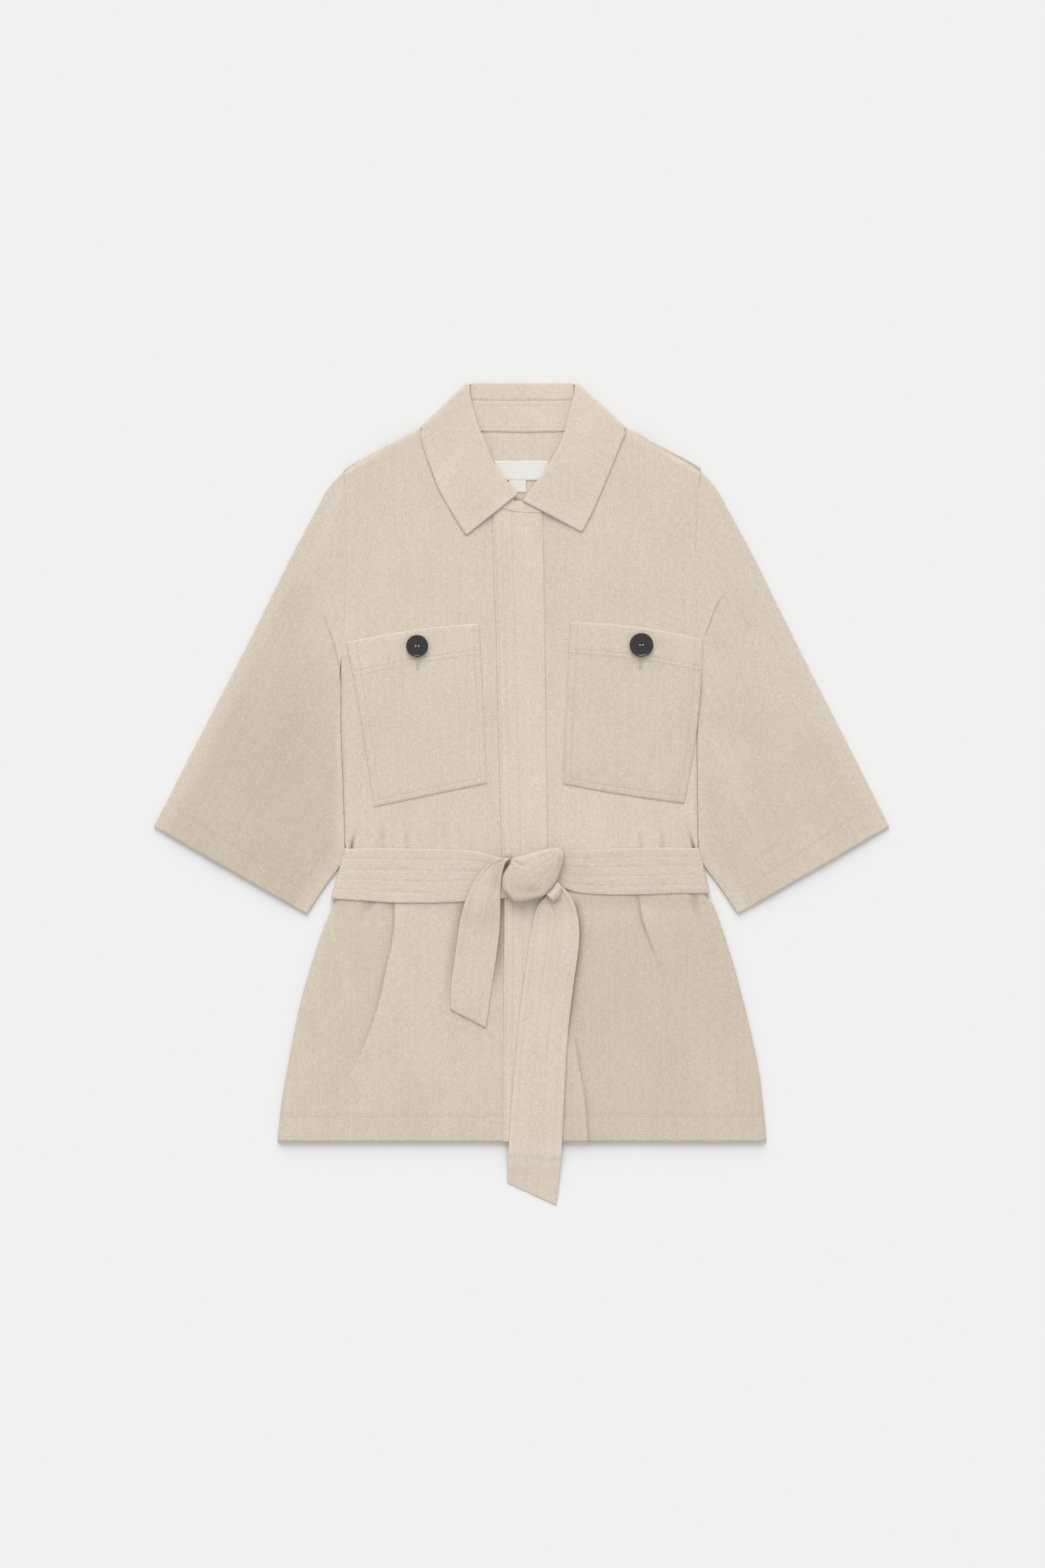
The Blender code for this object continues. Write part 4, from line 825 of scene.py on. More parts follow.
class Finish:
    """A material and the one way its nodes are added."""

    def __init__(self, name, **constants):
        self.material = bpy.data.materials.new(name)
        self.material.use_nodes = True
        self.tree = self.material.node_tree
        self.shader = self.tree.nodes["Principled BSDF"]
        for socket, value in constants.items():
            self.shader.inputs[socket.replace("_", " ")].default_value = value

    def node(self, kind, settings, sockets, output=0):
        made = self.tree.nodes.new(kind)
        for key, value in settings.items():
            setattr(made, key, value)
        for key, value in sockets.items():
            if isinstance(value, Wire):
                self.tree.links.new(value.socket, made.inputs[key])
            else:
                made.inputs[key].default_value = value
        return Wire(self, made.outputs[output])

    def vectors(self, operation, first, second, key=1):
        return self.node("ShaderNodeVectorMath", {"operation": operation}, {0: first, key: second})

    def feed(self, socket, wire):
        self.tree.links.new(wire.socket, self.shader.inputs[socket])

    def stretched(self, place, along_u, along_v, detail=1.0):
        """Noise whose grains are stretched by different amounts along and across the cloth."""
        scaled = self.vectors("MULTIPLY", place, (along_u, along_v, 1.0))
        return self.node("ShaderNodeTexNoise", {"noise_dimensions": "2D"},
                         {"Vector": scaled, "Scale": 1.0, "Detail": detail, "Roughness": 0.6})

    def grained(self, colour, scale, detail, base, depth):
        """Feeds a colour with a fine grain on the object's own coordinates, and gives the grain."""
        place = self.node("ShaderNodeTexCoord", {}, {}, "Object")
        grain = self.node("ShaderNodeTexNoise", {}, {"Vector": place, "Scale": scale,
                                                     "Detail": detail})
        self.feed("Base Color", self.vectors("SCALE", colour, base + grain * depth, "Scale"))
        return grain


def linen(name, colour, offset=0.0):
    """Plain linen weave with uneven threads, slubs and cloudy tone, and the painted shade that each
    piece carries.
    """
    made = Finish(name, Roughness=0.92, Sheen_Weight=0.12, Sheen_Roughness=0.5,
                  Specular_IOR_Level=0.2)
    uv = made.node("ShaderNodeUVMap", {"uv_map": "cloth"}, {})
    place = made.vectors("ADD", uv, (offset, offset, 0.0))
    fields = {row.name: made.stretched(place, row.along_u, row.along_v, row.detail)
              for row in TONE_FIELDS}
    slubs = (made.stretched(place, 1000.0, 110.0).above(SLUB_LEVEL)
             + made.stretched(place, 90.0, 1050.0).above(SLUB_LEVEL))
    turn = math.pi / THREAD_PITCH
    check = (place.part("X") * turn).sine() * (place.part("Y") * turn).sine()
    tone = 1.0 + slubs * 0.4 + check * 0.012
    for row in TONE_FIELDS:
        tone = tone + (fields[row.name] - 0.5) * row.strength
    # Painted shade from the mesh, painted light where negative, darkens the colour, red the least
    trough = made.node("ShaderNodeAttribute", {"attribute_name": "trough"}, {}, "Fac")
    shade = made.node("ShaderNodeCombineXYZ", {},
                      {axis: 1.0 - trough * loss for axis, loss in PAINTED_SHADE_LOSS.items()})
    tinted = made.vectors("SCALE", colour, tone, "Scale")
    made.feed("Base Color", made.vectors("MULTIPLY", tinted, shade))
    height = fields["warp"] + fields["weft"] + check * 0.15 + slubs * 2.0
    made.feed("Normal", made.node("ShaderNodeBump", {}, {"Height": height, "Strength": 0.35,
                                                         "Distance": 0.0003}))
    return made.material


def plain(name, colour, roughness, grain_size, grain_depth):
    """Smooth tape, thread or floor: an even colour with a slight grain."""
    made = Finish(name, Roughness=roughness, Specular_IOR_Level=0.25)
    made.grained(colour, 1.0 / grain_size, 2.0, 1.0 - 0.5 * grain_depth, grain_depth)
    return made.material


def glossy_black(name):
    made = Finish(name, Roughness=0.12, Specular_IOR_Level=0.6, Coat_Weight=0.5,
                  Coat_Roughness=0.05)
    wear = made.grained(BUTTON_BLACK, 900.0, 3.0, 0.6, 0.8)
    made.feed("Roughness", 0.14 + wear * 0.14)
    return made.material


# Garment pieces

THREAD_FINISH = plain("sewing_thread", THREAD, 0.7, 0.0006, 0.3)
LABEL_THREAD = plain("white_thread", LABEL_WHITE, 0.6, 0.0006, 0.2)


def sewn(piece):
    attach(piece, "root")
    return piece


def thread_rows(slot, part, lines, finish=THREAD_FINISH, **form):
    """Stitches or other thread, named after the piece they are on."""
    return sewn(threads(slot + part, lines, finish, **form))


def linen_piece(name, grid, colour, offset, **form):
    """Linen shell that takes the place of the solid of its name."""
    finish = linen(name + "_linen", colour, offset)
    piece = sewn(shell(name + "_linen", grid, finish, **form))
    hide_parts(name)
    return piece


def quad_area(grid):
    """Area in square metres of a grid of points in millimetres."""
    diagonal_a = grid[1:, 1:] - grid[:-1, :-1]
    diagonal_b = grid[1:, :-1] - grid[:-1, 1:]
    return float(np.linalg.norm(np.cross(diagonal_a, diagonal_b), axis=2).sum() / 2 * MM * MM)


def declare(grid, flat, least=0.0):
    """Works out the flat area of a piece's cloth from its cut size and middle surface, and keeps
    nothing.
    """
    whole = flat[0] * flat[1] * MM * MM
    flat[0] * MM
    flat[1] * MM
    max(min(quad_area(grid), whole), least * whole)


def body_plan(columns, pitch, top_y, first_x, last_x):
    """Plan of a body panel from the top down, between two edges whose X is a function of Y."""
    ys = [np.full_like(columns, y)
          for y in np.linspace(HEM_Y, YOKE_Y, int((YOKE_Y - HEM_Y) / pitch))]
    ys += [lerp(YOKE_Y, top_y, share)
           for share in np.linspace(0.0, 1.0, int(YOKE_RISE / pitch))[1:]]
    xs = [lerp(first_x(y), last_x(y), columns) for y in ys]
    return np.array(xs)[::-1], np.array(ys)[::-1]


def front_level(x, y, side):
    """Middle height of a front panel, and its painted shade: in creases, over the skirt, below the
    belt and beside the belt's ends, with painted light on a patch of the skirt.
    """
    folds, trough = crease_relief(CREASES, x, y)
    trough = trough + SKIRT_SHADE[side] * smoothstep((SKIRT_TOP_Y - y) / SKIRT_FADE)
    trough = trough + swell_at(LIT_PATCH, x, y)
    below_belt = smoothstep((BELT_SHADE_Y + 4.0 - y) / 3.0)
    trough = trough + BELT_SHADE * bell((y - BELT_SHADE_Y) / 9.0) * below_belt
    dent, shade = groove(y - HEM_ROW_Y, width=HEM_GROOVE)
    folds = folds + dent
    trough = trough + shade + tail_shade(x, y)
    off_belt = smoothstep(np.maximum(BELT_ZONE[0] + 3 - y, y - BELT_ZONE[1] + 8) / 8.0)
    height = FRONT + lie(x, y) + np.where(folds > 0, folds * off_belt, folds)
    height = height + crumple(x, y, CRUMPLE_SEED[side])
    level = back_height(x, y, 20.0) + CLOTH + 0.5
    rolled = np.maximum(0.0, 1 - np.abs(x - side_x(side, y)) / EDGE_ROLL) ** 2
    rolled = rolled * smoothstep((UNDERARM_Y - y) / 16.0)
    at_shoulder = np.maximum(0.0, 1 - np.abs(shoulder_y(side, x) - y) / EDGE_ROLL) ** 2
    rolled = np.maximum(rolled, at_shoulder * smoothstep((np.abs(x) - 72.0) / 25.0))
    return np.maximum(level, lerp(height, level, rolled)), trough


def build_front(side):
    name = "front_" + side
    sign = SIGN[side]
    pitch = density(2.4)
    inner_columns = np.linspace(EDGE_ROLL, FRONT_WIDTH, int((FRONT_WIDTH - EDGE_ROLL) / pitch * 1.9))
    columns = np.concatenate([[0.0, 0.8, 1.8, 3.0, 4.4], inner_columns]) / FRONT_WIDTH

    def edge_x(y):
        return side_x(side, y)

    def centre_x(y):
        return table_curve(PLACKET_EDGES, "y", "right_x", y) + FRONT_UNDER[side]

    # The top edge follows the neck seam, and past it the shoulder
    yoke_x = lerp(edge_x(YOKE_Y), centre_x(YOKE_Y), columns)
    neck = spline([(row.neck_x, row.neck_y) for row in COLLAR_FRONT[side]], 8)
    neck = np.vstack([neck, [(COLLAR_SIDE[side].neck_x, COLLAR_SIDE[side].neck_y)]])
    neck = neck[np.argsort(neck[:, 0])]
    neck_y = np.interp(yoke_x, neck[:, 0] + sign * 0.7, neck[:, 1] - 0.5)
    past_neck = (yoke_x * sign < 0) | (np.abs(yoke_x) < np.abs(neck[:, 0]).min())
    neck_y = np.where(past_neck, NECK_LOW_Y, np.clip(neck_y, NECK_LOW_Y, NECK_HIGH_Y))
    top_y = np.where(np.abs(yoke_x) > 67.5, shoulder_y(side, yoke_x), neck_y)
    x, y = body_plan(columns, pitch, top_y, edge_x, centre_x)
    z, trough = front_level(x, y, side)
    grid = np.stack([x, y, z], axis=2)
    piece = linen_piece(name, grid, LINEN_BODY, 0.3 * sign, trough=trough)
    row_x = np.linspace(edge_x(HEM_ROW_Y) - sign * 2, HEM_ROW_END[side], 120)
    row_y = np.full_like(row_x, HEM_ROW_Y)
    row_z = front_level(row_x, row_y, side)[0] + STITCH_LIFT
    stitched = thread_rows(name, "_hem_stitches", [np.column_stack([row_x, row_y, row_z])])
    declare(grid, (232.0, 690.0))


def build_back():
    pitch = density(4.2)
    columns = np.linspace(0.0, 1.0, int(420.0 / pitch))

    def right_x(y):
        return side_x("right", y)

    def left_x(y):
        return side_x("left", y)

    yoke_x = lerp(right_x(YOKE_Y), left_x(YOKE_Y), columns)
    neck = spline([(row.neck_x, row.neck_y) for row in COLLAR_BACK], 6)
    neck_y = np.interp(yoke_x, neck[:, 0], neck[:, 1]) + 2.2
    shoulder = np.where(yoke_x < 0, shoulder_y("right", yoke_x), shoulder_y("left", yoke_x))
    blend = smoothstep((np.abs(yoke_x) - 60.0) / 8.5)
    top_y = lerp(neck_y, np.minimum(shoulder, NECK_HIGH_Y), blend)
    x, y = body_plan(columns, pitch, top_y, right_x, left_x)
    z = back_height(x, y)
    z = np.where(y > YOKE_Y + 60, np.maximum(z, back_height(x, np.full_like(y, 300.0))), z)
    z = z + 0.12 * waves(x, y, 31, 30.0, 90.0, 12, 1.5) * (z > GROUND + 0.8)
    grid = np.stack([x, y, z], axis=2)
    piece = linen_piece("back", grid, LINEN_PAINTED_LIGHTER, 0.9)
    declare(grid, (464.0, 690.0))


def square_to(path, toward):
    """Unit vectors in the plan, square to a path, on the side that a direction points to."""
    tangent = np.gradient(path, axis=0)
    square = np.column_stack([-tangent[:, 1], tangent[:, 0]])
    square /= np.linalg.norm(square, axis=1)[:, None]
    square[(square @ np.array(toward)) < 0] *= -1
    return square


def build_sleeve(side):
    """Tube lying flat: upper fold, top layer, lower fold, then the layer on the ground."""
    name = "sleeve_" + side
    sign = SIGN[side]
    pitch = density(1.8)
    radius = SLEEVE_FOLD_RADIUS
    upper = along(spline(SLEEVE_TOP[side], 8), step=pitch)
    rings = len(upper)
    down_y = np.array([UNDERARM_Y, 85.0, 57.5, 30.0, 7.0, -20.0, -46.0])
    down = np.column_stack([side_x(side, down_y) + sign * SLEEVE_BODY_GAP, down_y])
    lower = along(spline(np.vstack([down, SLEEVE_LOWER[side]]), 6), count=rings)
    out_top = square_to(upper, (sign, 0.6))
    out_low = square_to(lower, (-sign, -0.5))
    start = upper - out_top * (radius + CLOTH / 2)
    end = lower - out_low * (radius + CLOTH / 2)
    shares = np.concatenate([[0.0, 0.012, 0.03, 0.055],
                             np.linspace(0.085, 0.93, int(185.0 / pitch)), [0.965, 1.0]])
    turns = np.radians([-60, -30, 0, 30, 60])
    t = np.linspace(0.0, 1.0, rings)
    length = float(np.linalg.norm(upper[-1] - upper[0]))
    axis = (upper[-1] - upper[0]) / length
    square_axis = np.array([-axis[1], axis[0]]) * sign
    crown = lerp(FRONT, 3.3, smoothstep(t)) - (GROUND + 2 * radius)
    dent, dent_shade = groove(t * length - length + CUFF_HEM, width=HEM_GROOVE)
    # Painted shade over the far part of the sleeve
    far_shade = SLEEVE_SHADE[side] * smoothstep((t - 0.05) / 0.5)
    parts = []
    dark = []
    uv = []

    def across(share):
        """Plan of a line along the sleeve, bowed to the body's edge near the armhole."""
        plan = lerp(start, end, share)
        inside = smoothstep(np.minimum(share / 0.02, (1 - share) / 0.12))
        bow = (side_x(side, plan[:, 1]) - sign * 0.3 - plan[:, 0]) * (1 - t) ** 12
        plan[:, 0] += bow * inside
        return plan

    def add(plan, height, shade=0.0):
        parts.append(np.column_stack([plan, np.broadcast_to(height, rings)]))
        dark.append(np.broadcast_to(shade, rings))
        uv.append(np.column_stack([plan @ square_axis, plan @ axis]))

    def add_fold(edge, out, angles):
        for angle in angles:
            add(edge + out * (radius * math.cos(angle)), GROUND + radius + radius * math.sin(angle))

    add_fold(start, out_top, turns)
    for share in shares:
        plan = across(share)
        x, y = plan.T
        from_edge = min(share, 1 - share)
        inside = smoothstep(from_edge / 0.12)
        rise = crown * smoothstep(from_edge / lerp(0.06, 0.22, smoothstep(t / 0.15)))
        folds, trough = crease_relief(SLEEVE_CREASES[side], x, y)
        uneven = lie(x, y) + crumple(x, y, CRUMPLE_SEED[side])
        height = GROUND + 2 * radius + rise + (folds + uneven + dent) * inside
        add(plan, np.maximum(height, GROUND + 1.3), (trough + dent_shade + far_shade) * inside)
    add_fold(end, out_low, turns[::-1])
    for share in (1.0, 0.85, 0.7, 0.5, 0.3, 0.15, 0.0):
        add(across(share), GROUND)
    grid = np.stack(parts, axis=1)
    uv = np.stack(uv + uv[:1], axis=1)
    piece = linen_piece(name, grid, LINEN_BODY, 0.5 + 0.1 * sign, uv=uv,
                        trough=np.stack(dark, axis=1), ring=True)
    # Cuff stitching, an even distance in from the edge
    row = rings - 1 - int(round(CUFF_HEM / np.linalg.norm(upper[-1] - upper[-2])))
    top = grid[row, len(turns):len(turns) + len(shares)]
    line = along(top, step=2.0) + (0.0, 0.0, STITCH_LIFT)
    stitched = thread_rows(name, "_hem_stitches", [line[4:-4]])
    whole_round = np.concatenate([grid, grid[:, :1]], axis=1)
    flat = (max(float(lengths_along(whole_round[-1])[-1]), SLEEVE_GIRTH), length + CUFF_HEM)
    declare(whole_round, flat)


# Collar

UNDER_SHARES = np.linspace(0.0, 1.0, 6)
ROLL_TURNS = np.radians(np.linspace(-70, 70, 9))
LEAF_SHARES = np.linspace(0.0, 1.0, 27)
STAND_SHARES = np.linspace(0.0, 1.0, 19)
SIDE_ANGLES = [*range(90, -91, -12), -90]


def outward(direction, sign):
    """Direction in the plan square to another, towards the side of a sign."""
    out = np.array([-direction[1], direction[0]])
    return out if out[0] * sign > 0 else -out


def fall_section(row, edge_height):
    """Fall where it lies flat: its underside, its roll and its leaf."""
    roll, seam, _, outer = np.array(row[:8]).reshape(4, 2)
    bulge = -unit(unit(seam - roll) + unit(outer - roll))
    radius = (row.high - row.low) / 2
    middle = (row.high + row.low) / 2
    centre = roll - bulge * (abs(radius) + FOLDED_CLOTH / 2)
    section = [[*lerp(seam, centre, share), row.low] for share in UNDER_SHARES]
    section += [[*(centre + bulge * (abs(radius) * math.cos(turn))),
                 middle + radius * math.sin(turn)] for turn in ROLL_TURNS]
    section += [[*lerp(centre, outer, share),
                 lerp(row.high, edge_height, smoothstep((share - 0.35) / 0.65))]
                for share in LEAF_SHARES]
    return section


def side_section(side, angle):
    """Fall, and neck seam, where they fold round a side of the neck."""
    fold = COLLAR_SIDE[side]
    roll, seam, neck, outer = np.array(fold[:8]).reshape(4, 2)
    slope = unit(outer - roll)
    out_fall = outward(slope, SIGN[side])
    out_stand = outward(unit(seam - neck), SIGN[side])
    bulge = np.array([*-unit(unit(seam - roll) + slope), 0.0])
    turn = math.radians(angle)
    lean, lean_stand = (np.array([*(out * math.cos(turn)), math.sin(turn)])
                        for out in (out_fall, out_stand))

    def centre_of(plan, out, radius, height):
        return np.array([*(plan - out * (radius + FOLDED_CLOTH / 2)), height])

    seam_centre = centre_of(seam, out_stand, STAND_FOLD_RADIUS, SIDE_CENTRE_Z)
    roll_centre = centre_of(roll + slope * 1.5, out_fall, FALL_FOLD_RADIUS, SIDE_CENTRE_Z)
    edge_centre = centre_of(outer, out_fall, OUTER_FOLD_RADIUS, OUTER_CENTRE_Z)
    neck_centre = centre_of(neck, out_stand, NECK_FOLD_RADIUS, NECK_CENTRE_Z)
    start = seam_centre + lean_stand * STAND_FOLD_RADIUS
    before = roll_centre + lean * STAND_FOLD_RADIUS
    after = roll_centre + lean * FALL_FOLD_RADIUS
    end = edge_centre + lean * OUTER_FOLD_RADIUS
    section = [lerp(start, before, share) for share in UNDER_SHARES]
    for roll_turn in ROLL_TURNS:
        step = lean * math.sin(roll_turn) + bulge * math.cos(roll_turn)
        section.append(lerp(before, after, 0.5) + step * ROLL_RADIUS)
    section += [lerp(after, end, share) for share in LEAF_SHARES]
    return section, neck_centre + lean_stand * NECK_FOLD_RADIUS


def build_collar():
    fall = []
    stand = []

    def add_stand(neck, seam):
        rise = unit(seam - neck)
        down = np.array([0.0, 0.0, abs(rise[1])])
        foot = neck - rise * 1.0 + down * 0.7
        stand.append([lerp(foot, seam + down * 0.02, share) for share in STAND_SHARES]
                     + [seam + rise * 1.5 - down * 0.8])

    def add_rows(rows, edge_height, front):
        for row in [CollarRow(*numbers) for numbers in spline(rows, 7)]:
            fall.append(fall_section(row, edge_height))
            near_end = smoothstep((row.low - 5.2) / 0.4)
            height = lerp(FRONT, row.low, near_end) if front else GROUND + BACK_LIFT
            add_stand(np.array([row.neck_x, row.neck_y, height]), np.array(fall[-1][0]))

    def add_side(side, angles):
        for angle in angles:
            section, neck = side_section(side, angle)
            fall.append(section)
            add_stand(neck, section[0])

    add_rows(COLLAR_FRONT["right"], ON_FRONT, True)
    add_side("right", SIDE_ANGLES)
    add_rows(COLLAR_BACK, GROUND, False)
    add_side("left", SIDE_ANGLES[::-1])
    add_rows(COLLAR_FRONT["left"][::-1], ON_FRONT, True)
    ends = []
    for seam_x, seam_y, top_x, top_y in spline(STAND_END, 5):
        neck = np.array([seam_x, seam_y - 1.3, ON_FRONT + 0.35])
        top = np.array([top_x, top_y, ON_FRONT])
        ends.append([lerp(neck, top, share) for share in STAND_SHARES] + [top + (0.0, 0.3, -0.1)])
    fall = np.array(fall)
    stand = np.array(ends + stand)
    for name, grid in (("collar", fall), ("collar_stand", stand)):
        over = off_ground(grid[:, :, 2], 3.6)
        grid[:, :, 2] += lie(grid[:, :, 0], grid[:, :, 1]) * over
        grid[:, :, 2] += crumple(grid[:, :, 0], grid[:, :, 1], 61) * over * 1.3
        run = lengths_along(grid)
        middle = np.repeat(run[:, grid.shape[1] // 2][:, None], grid.shape[1], axis=1)
        across = lengths_along(grid, 1)
        piece = linen_piece(name, grid, LINEN_PAINTED_LIGHTER, 1.3, uv=np.stack([middle, across], axis=2),
                            thick=FOLDED_CLOTH - 0.1)
        declare(grid, (float(across.max()) + 2.0, float(run[-1].max()) + 2.0),
                least=0.31)
    behind = [row for row in stand[len(ends):] if row[0, 1] > 335 and row[0, 2] < 3.6]
    lines = []
    for place in (3, -4):
        line = np.array([row[place] for row in behind]) + (0.0, 0.0, FOLDED_CLOTH / 2)
        lines.append(line[np.abs(line[:, 0]) < 42])
    thread_rows("collar_stand", "_stitches", lines)


# Placket, pockets and buttons

def lifted(plan, level, seed, extra=0.0):
    """Plan points given the height of a layer on the front."""
    x = plan[..., 0]
    y = plan[..., 1]
    z = level + lie(x, y) + crumple(x, y, seed) * 0.6 + extra
    return np.concatenate([plan, z[..., None]], axis=-1)


def build_placket():
    pitch = density(2.4)
    ys = np.linspace(PLACKET_EDGES[0].y, HEM_Y, int(597.5 / pitch))
    shares = np.linspace(0.0, 1.0, int(PLACKET_WIDTH / pitch * 3.2))[None, :]
    right = table_curve(PLACKET_EDGES, "y", "right_x", ys)
    left = table_curve(PLACKET_EDGES, "y", "left_x", ys)
    x = lerp(right[:, None], left[:, None], shares)
    y = np.repeat(ys[:, None], shares.size, axis=1)
    y += 5.5 * smoothstep((-3 - x) / 13) * smoothstep((y - 250) / 17)
    plan = np.stack([x, y], axis=2)
    width = (left - right)[:, None]
    from_right = shares * width
    folds = pressed(from_right, width - from_right)
    # Painted shade in the knot's slit and along the rows of stitches
    trough = knot_slit(plan)
    lines = []
    for row in PLACKET_STITCHES:
        dent, shade = groove(from_right - row, depth=0.12)
        folds = folds + dent
        trough = trough + shade * 0.5
        line = lifted(np.column_stack([right + row, ys])[ys < 262.0], ON_FRONT, 71)
        line[:, 2] += STITCH_LIFT - knot_slit(line)
        lines.append(line)
    grid = lifted(plan, ON_FRONT, 71, folds)
    piece = linen_piece("placket", grid, LINEN_PAINTED_LIGHTER, 1.7, trough=trough, thick=0.7)
    stitched = thread_rows("placket", "_stitches", lines)
    declare(grid, (PLACKET_WIDTH, 598.0))


def pocket_point(side, u, v):
    """Plan point of a pocket; u runs from its side edge to the centre and v from top to bottom."""
    spots = dict(zip(POCKET_PLACES, (np.array(p) for p in POCKETS[side])))
    a = u[..., None]
    b = v[..., None]

    def edge(start, middle, end, t):
        start, middle, end = (spots[place] for place in (start, middle, end))
        bend = middle * 2 - (start + end) * 0.5
        return start * (1 - t) ** 2 + bend * (2 * t * (1 - t)) + end * t ** 2

    top = edge("top side", "top middle", "top centre", a)
    low = edge("low side", "low middle", "low centre", a)
    side_edge = edge("top side", "side middle", "low side", b)
    centre = edge("top centre", "centre middle", "low centre", b)
    corners = lerp(lerp(spots["top side"], spots["top centre"], a),
                   lerp(spots["low side"], spots["low centre"], a), b)
    return lerp(top, low, b) + lerp(side_edge, centre, a) - corners


def pocket_form(u, v):
    """Share of the turned-down band and height lost at the pressed edges, at places of a pocket."""
    band = 1 - smoothstep((v - (POCKET_BAND - 0.004)) / 0.008)
    edges = pressed(u * POCKET_WIDTH, (1 - u) * POCKET_WIDTH,
                    v * POCKET_DEPTH, (1 - v) * POCKET_DEPTH)
    return band, edges


def build_pocket(side):
    name = "pocket_" + side
    seed = 81 + SIGN[side]
    pitch = density(1.7)
    columns = np.linspace(0.0, 1.0, int(POCKET_WIDTH / pitch))
    rows = np.concatenate([np.linspace(0.0, POCKET_BAND - 0.006, int(30.0 / pitch)),
                           [POCKET_BAND - 0.002, POCKET_BAND + 0.002],
                           np.linspace(POCKET_BAND + 0.008, 1.0, int(128.0 / pitch))])
    u, v = np.meshgrid(columns, rows)
    below = v - POCKET_BAND
    band, edges = pocket_form(u, v)
    droop = 0.35 * np.sin(u * math.pi) * smoothstep(below / 0.3) * smoothstep((1 - v) / 0.15)
    relief = band * BAND_RISE + droop + edges
    # Painted shade along the band's fold line and over the whole of the left pocket, and painted
    # light on the band
    trough = 0.08 * bell((below - 0.004) / 0.006) - 0.06 * band + POCKET_SHADE[side]
    for distance, held in ((u * POCKET_WIDTH - POCKET_STITCH, v < 1),
                           ((1 - u) * POCKET_WIDTH - POCKET_STITCH, v < 1),
                           ((1 - v) * POCKET_DEPTH - POCKET_STITCH, v < 1),
                           ((below + BAND_ROW) * POCKET_DEPTH, below < 0)):
        dent, shade = groove(distance)
        relief = relief + dent * held * 0.7
        trough = trough + shade * held * 0.5
    grid = lifted(pocket_point(side, u, v), ON_POCKET, seed, relief)
    piece = linen_piece(name, grid, LINEN_BODY, 2.1 + 0.3 * SIGN[side], trough=trough, thick=0.6)
    in_u = POCKET_STITCH / POCKET_WIDTH
    in_v = POCKET_STITCH / POCKET_DEPTH
    t = np.linspace(0.0, 1.0, 90)
    one = np.ones_like(t)
    lines = []
    for path_u, path_v in ((one * in_u, t * (1 - in_v)),
                           (in_u + t * (1 - 2 * in_u), one * (1 - in_v)),
                           (one * (1 - in_u), t * (1 - in_v)),
                           (0.01 + t * 0.98, one * (POCKET_BAND - BAND_ROW)),
                           (one * 0.012, t * 0.99),
                           (0.01 + t * 0.98, one * 0.99),
                           (one * 0.988, t * 0.99)):
        band, edges = pocket_form(path_u, path_v)
        lines.append(lifted(pocket_point(side, path_u, path_v), ON_POCKET, seed,
                            band * BAND_RISE + edges + STITCH_LIFT))
    stitched = thread_rows(name, "_stitches", lines)
    # Worked buttonhole: two close rows of thread and bars across its low end
    button = BUTTONS[side]
    high_y = button.y - button.diameter / 2 + 0.5
    low_y = high_y - 11.0
    paths = [np.column_stack([np.full(20, button.slit_x + shift), np.linspace(high_y, low_y, 20)])
             for shift in (-1.1, 1.1)]
    paths += [np.column_stack([button.slit_x + np.linspace(-1.9, 1.9, 8), np.full(8, low_y + shift)])
              for shift in (-0.4, 0.5)]
    lines = [lifted(path, ON_POCKET, seed, CLOTH / 2 + 0.35) for path in paths]
    thread_rows(name, "_buttonhole", lines, pitch=1.0, stitch=0.95, radius=0.42)
    declare(grid, (134.0, 174.0))


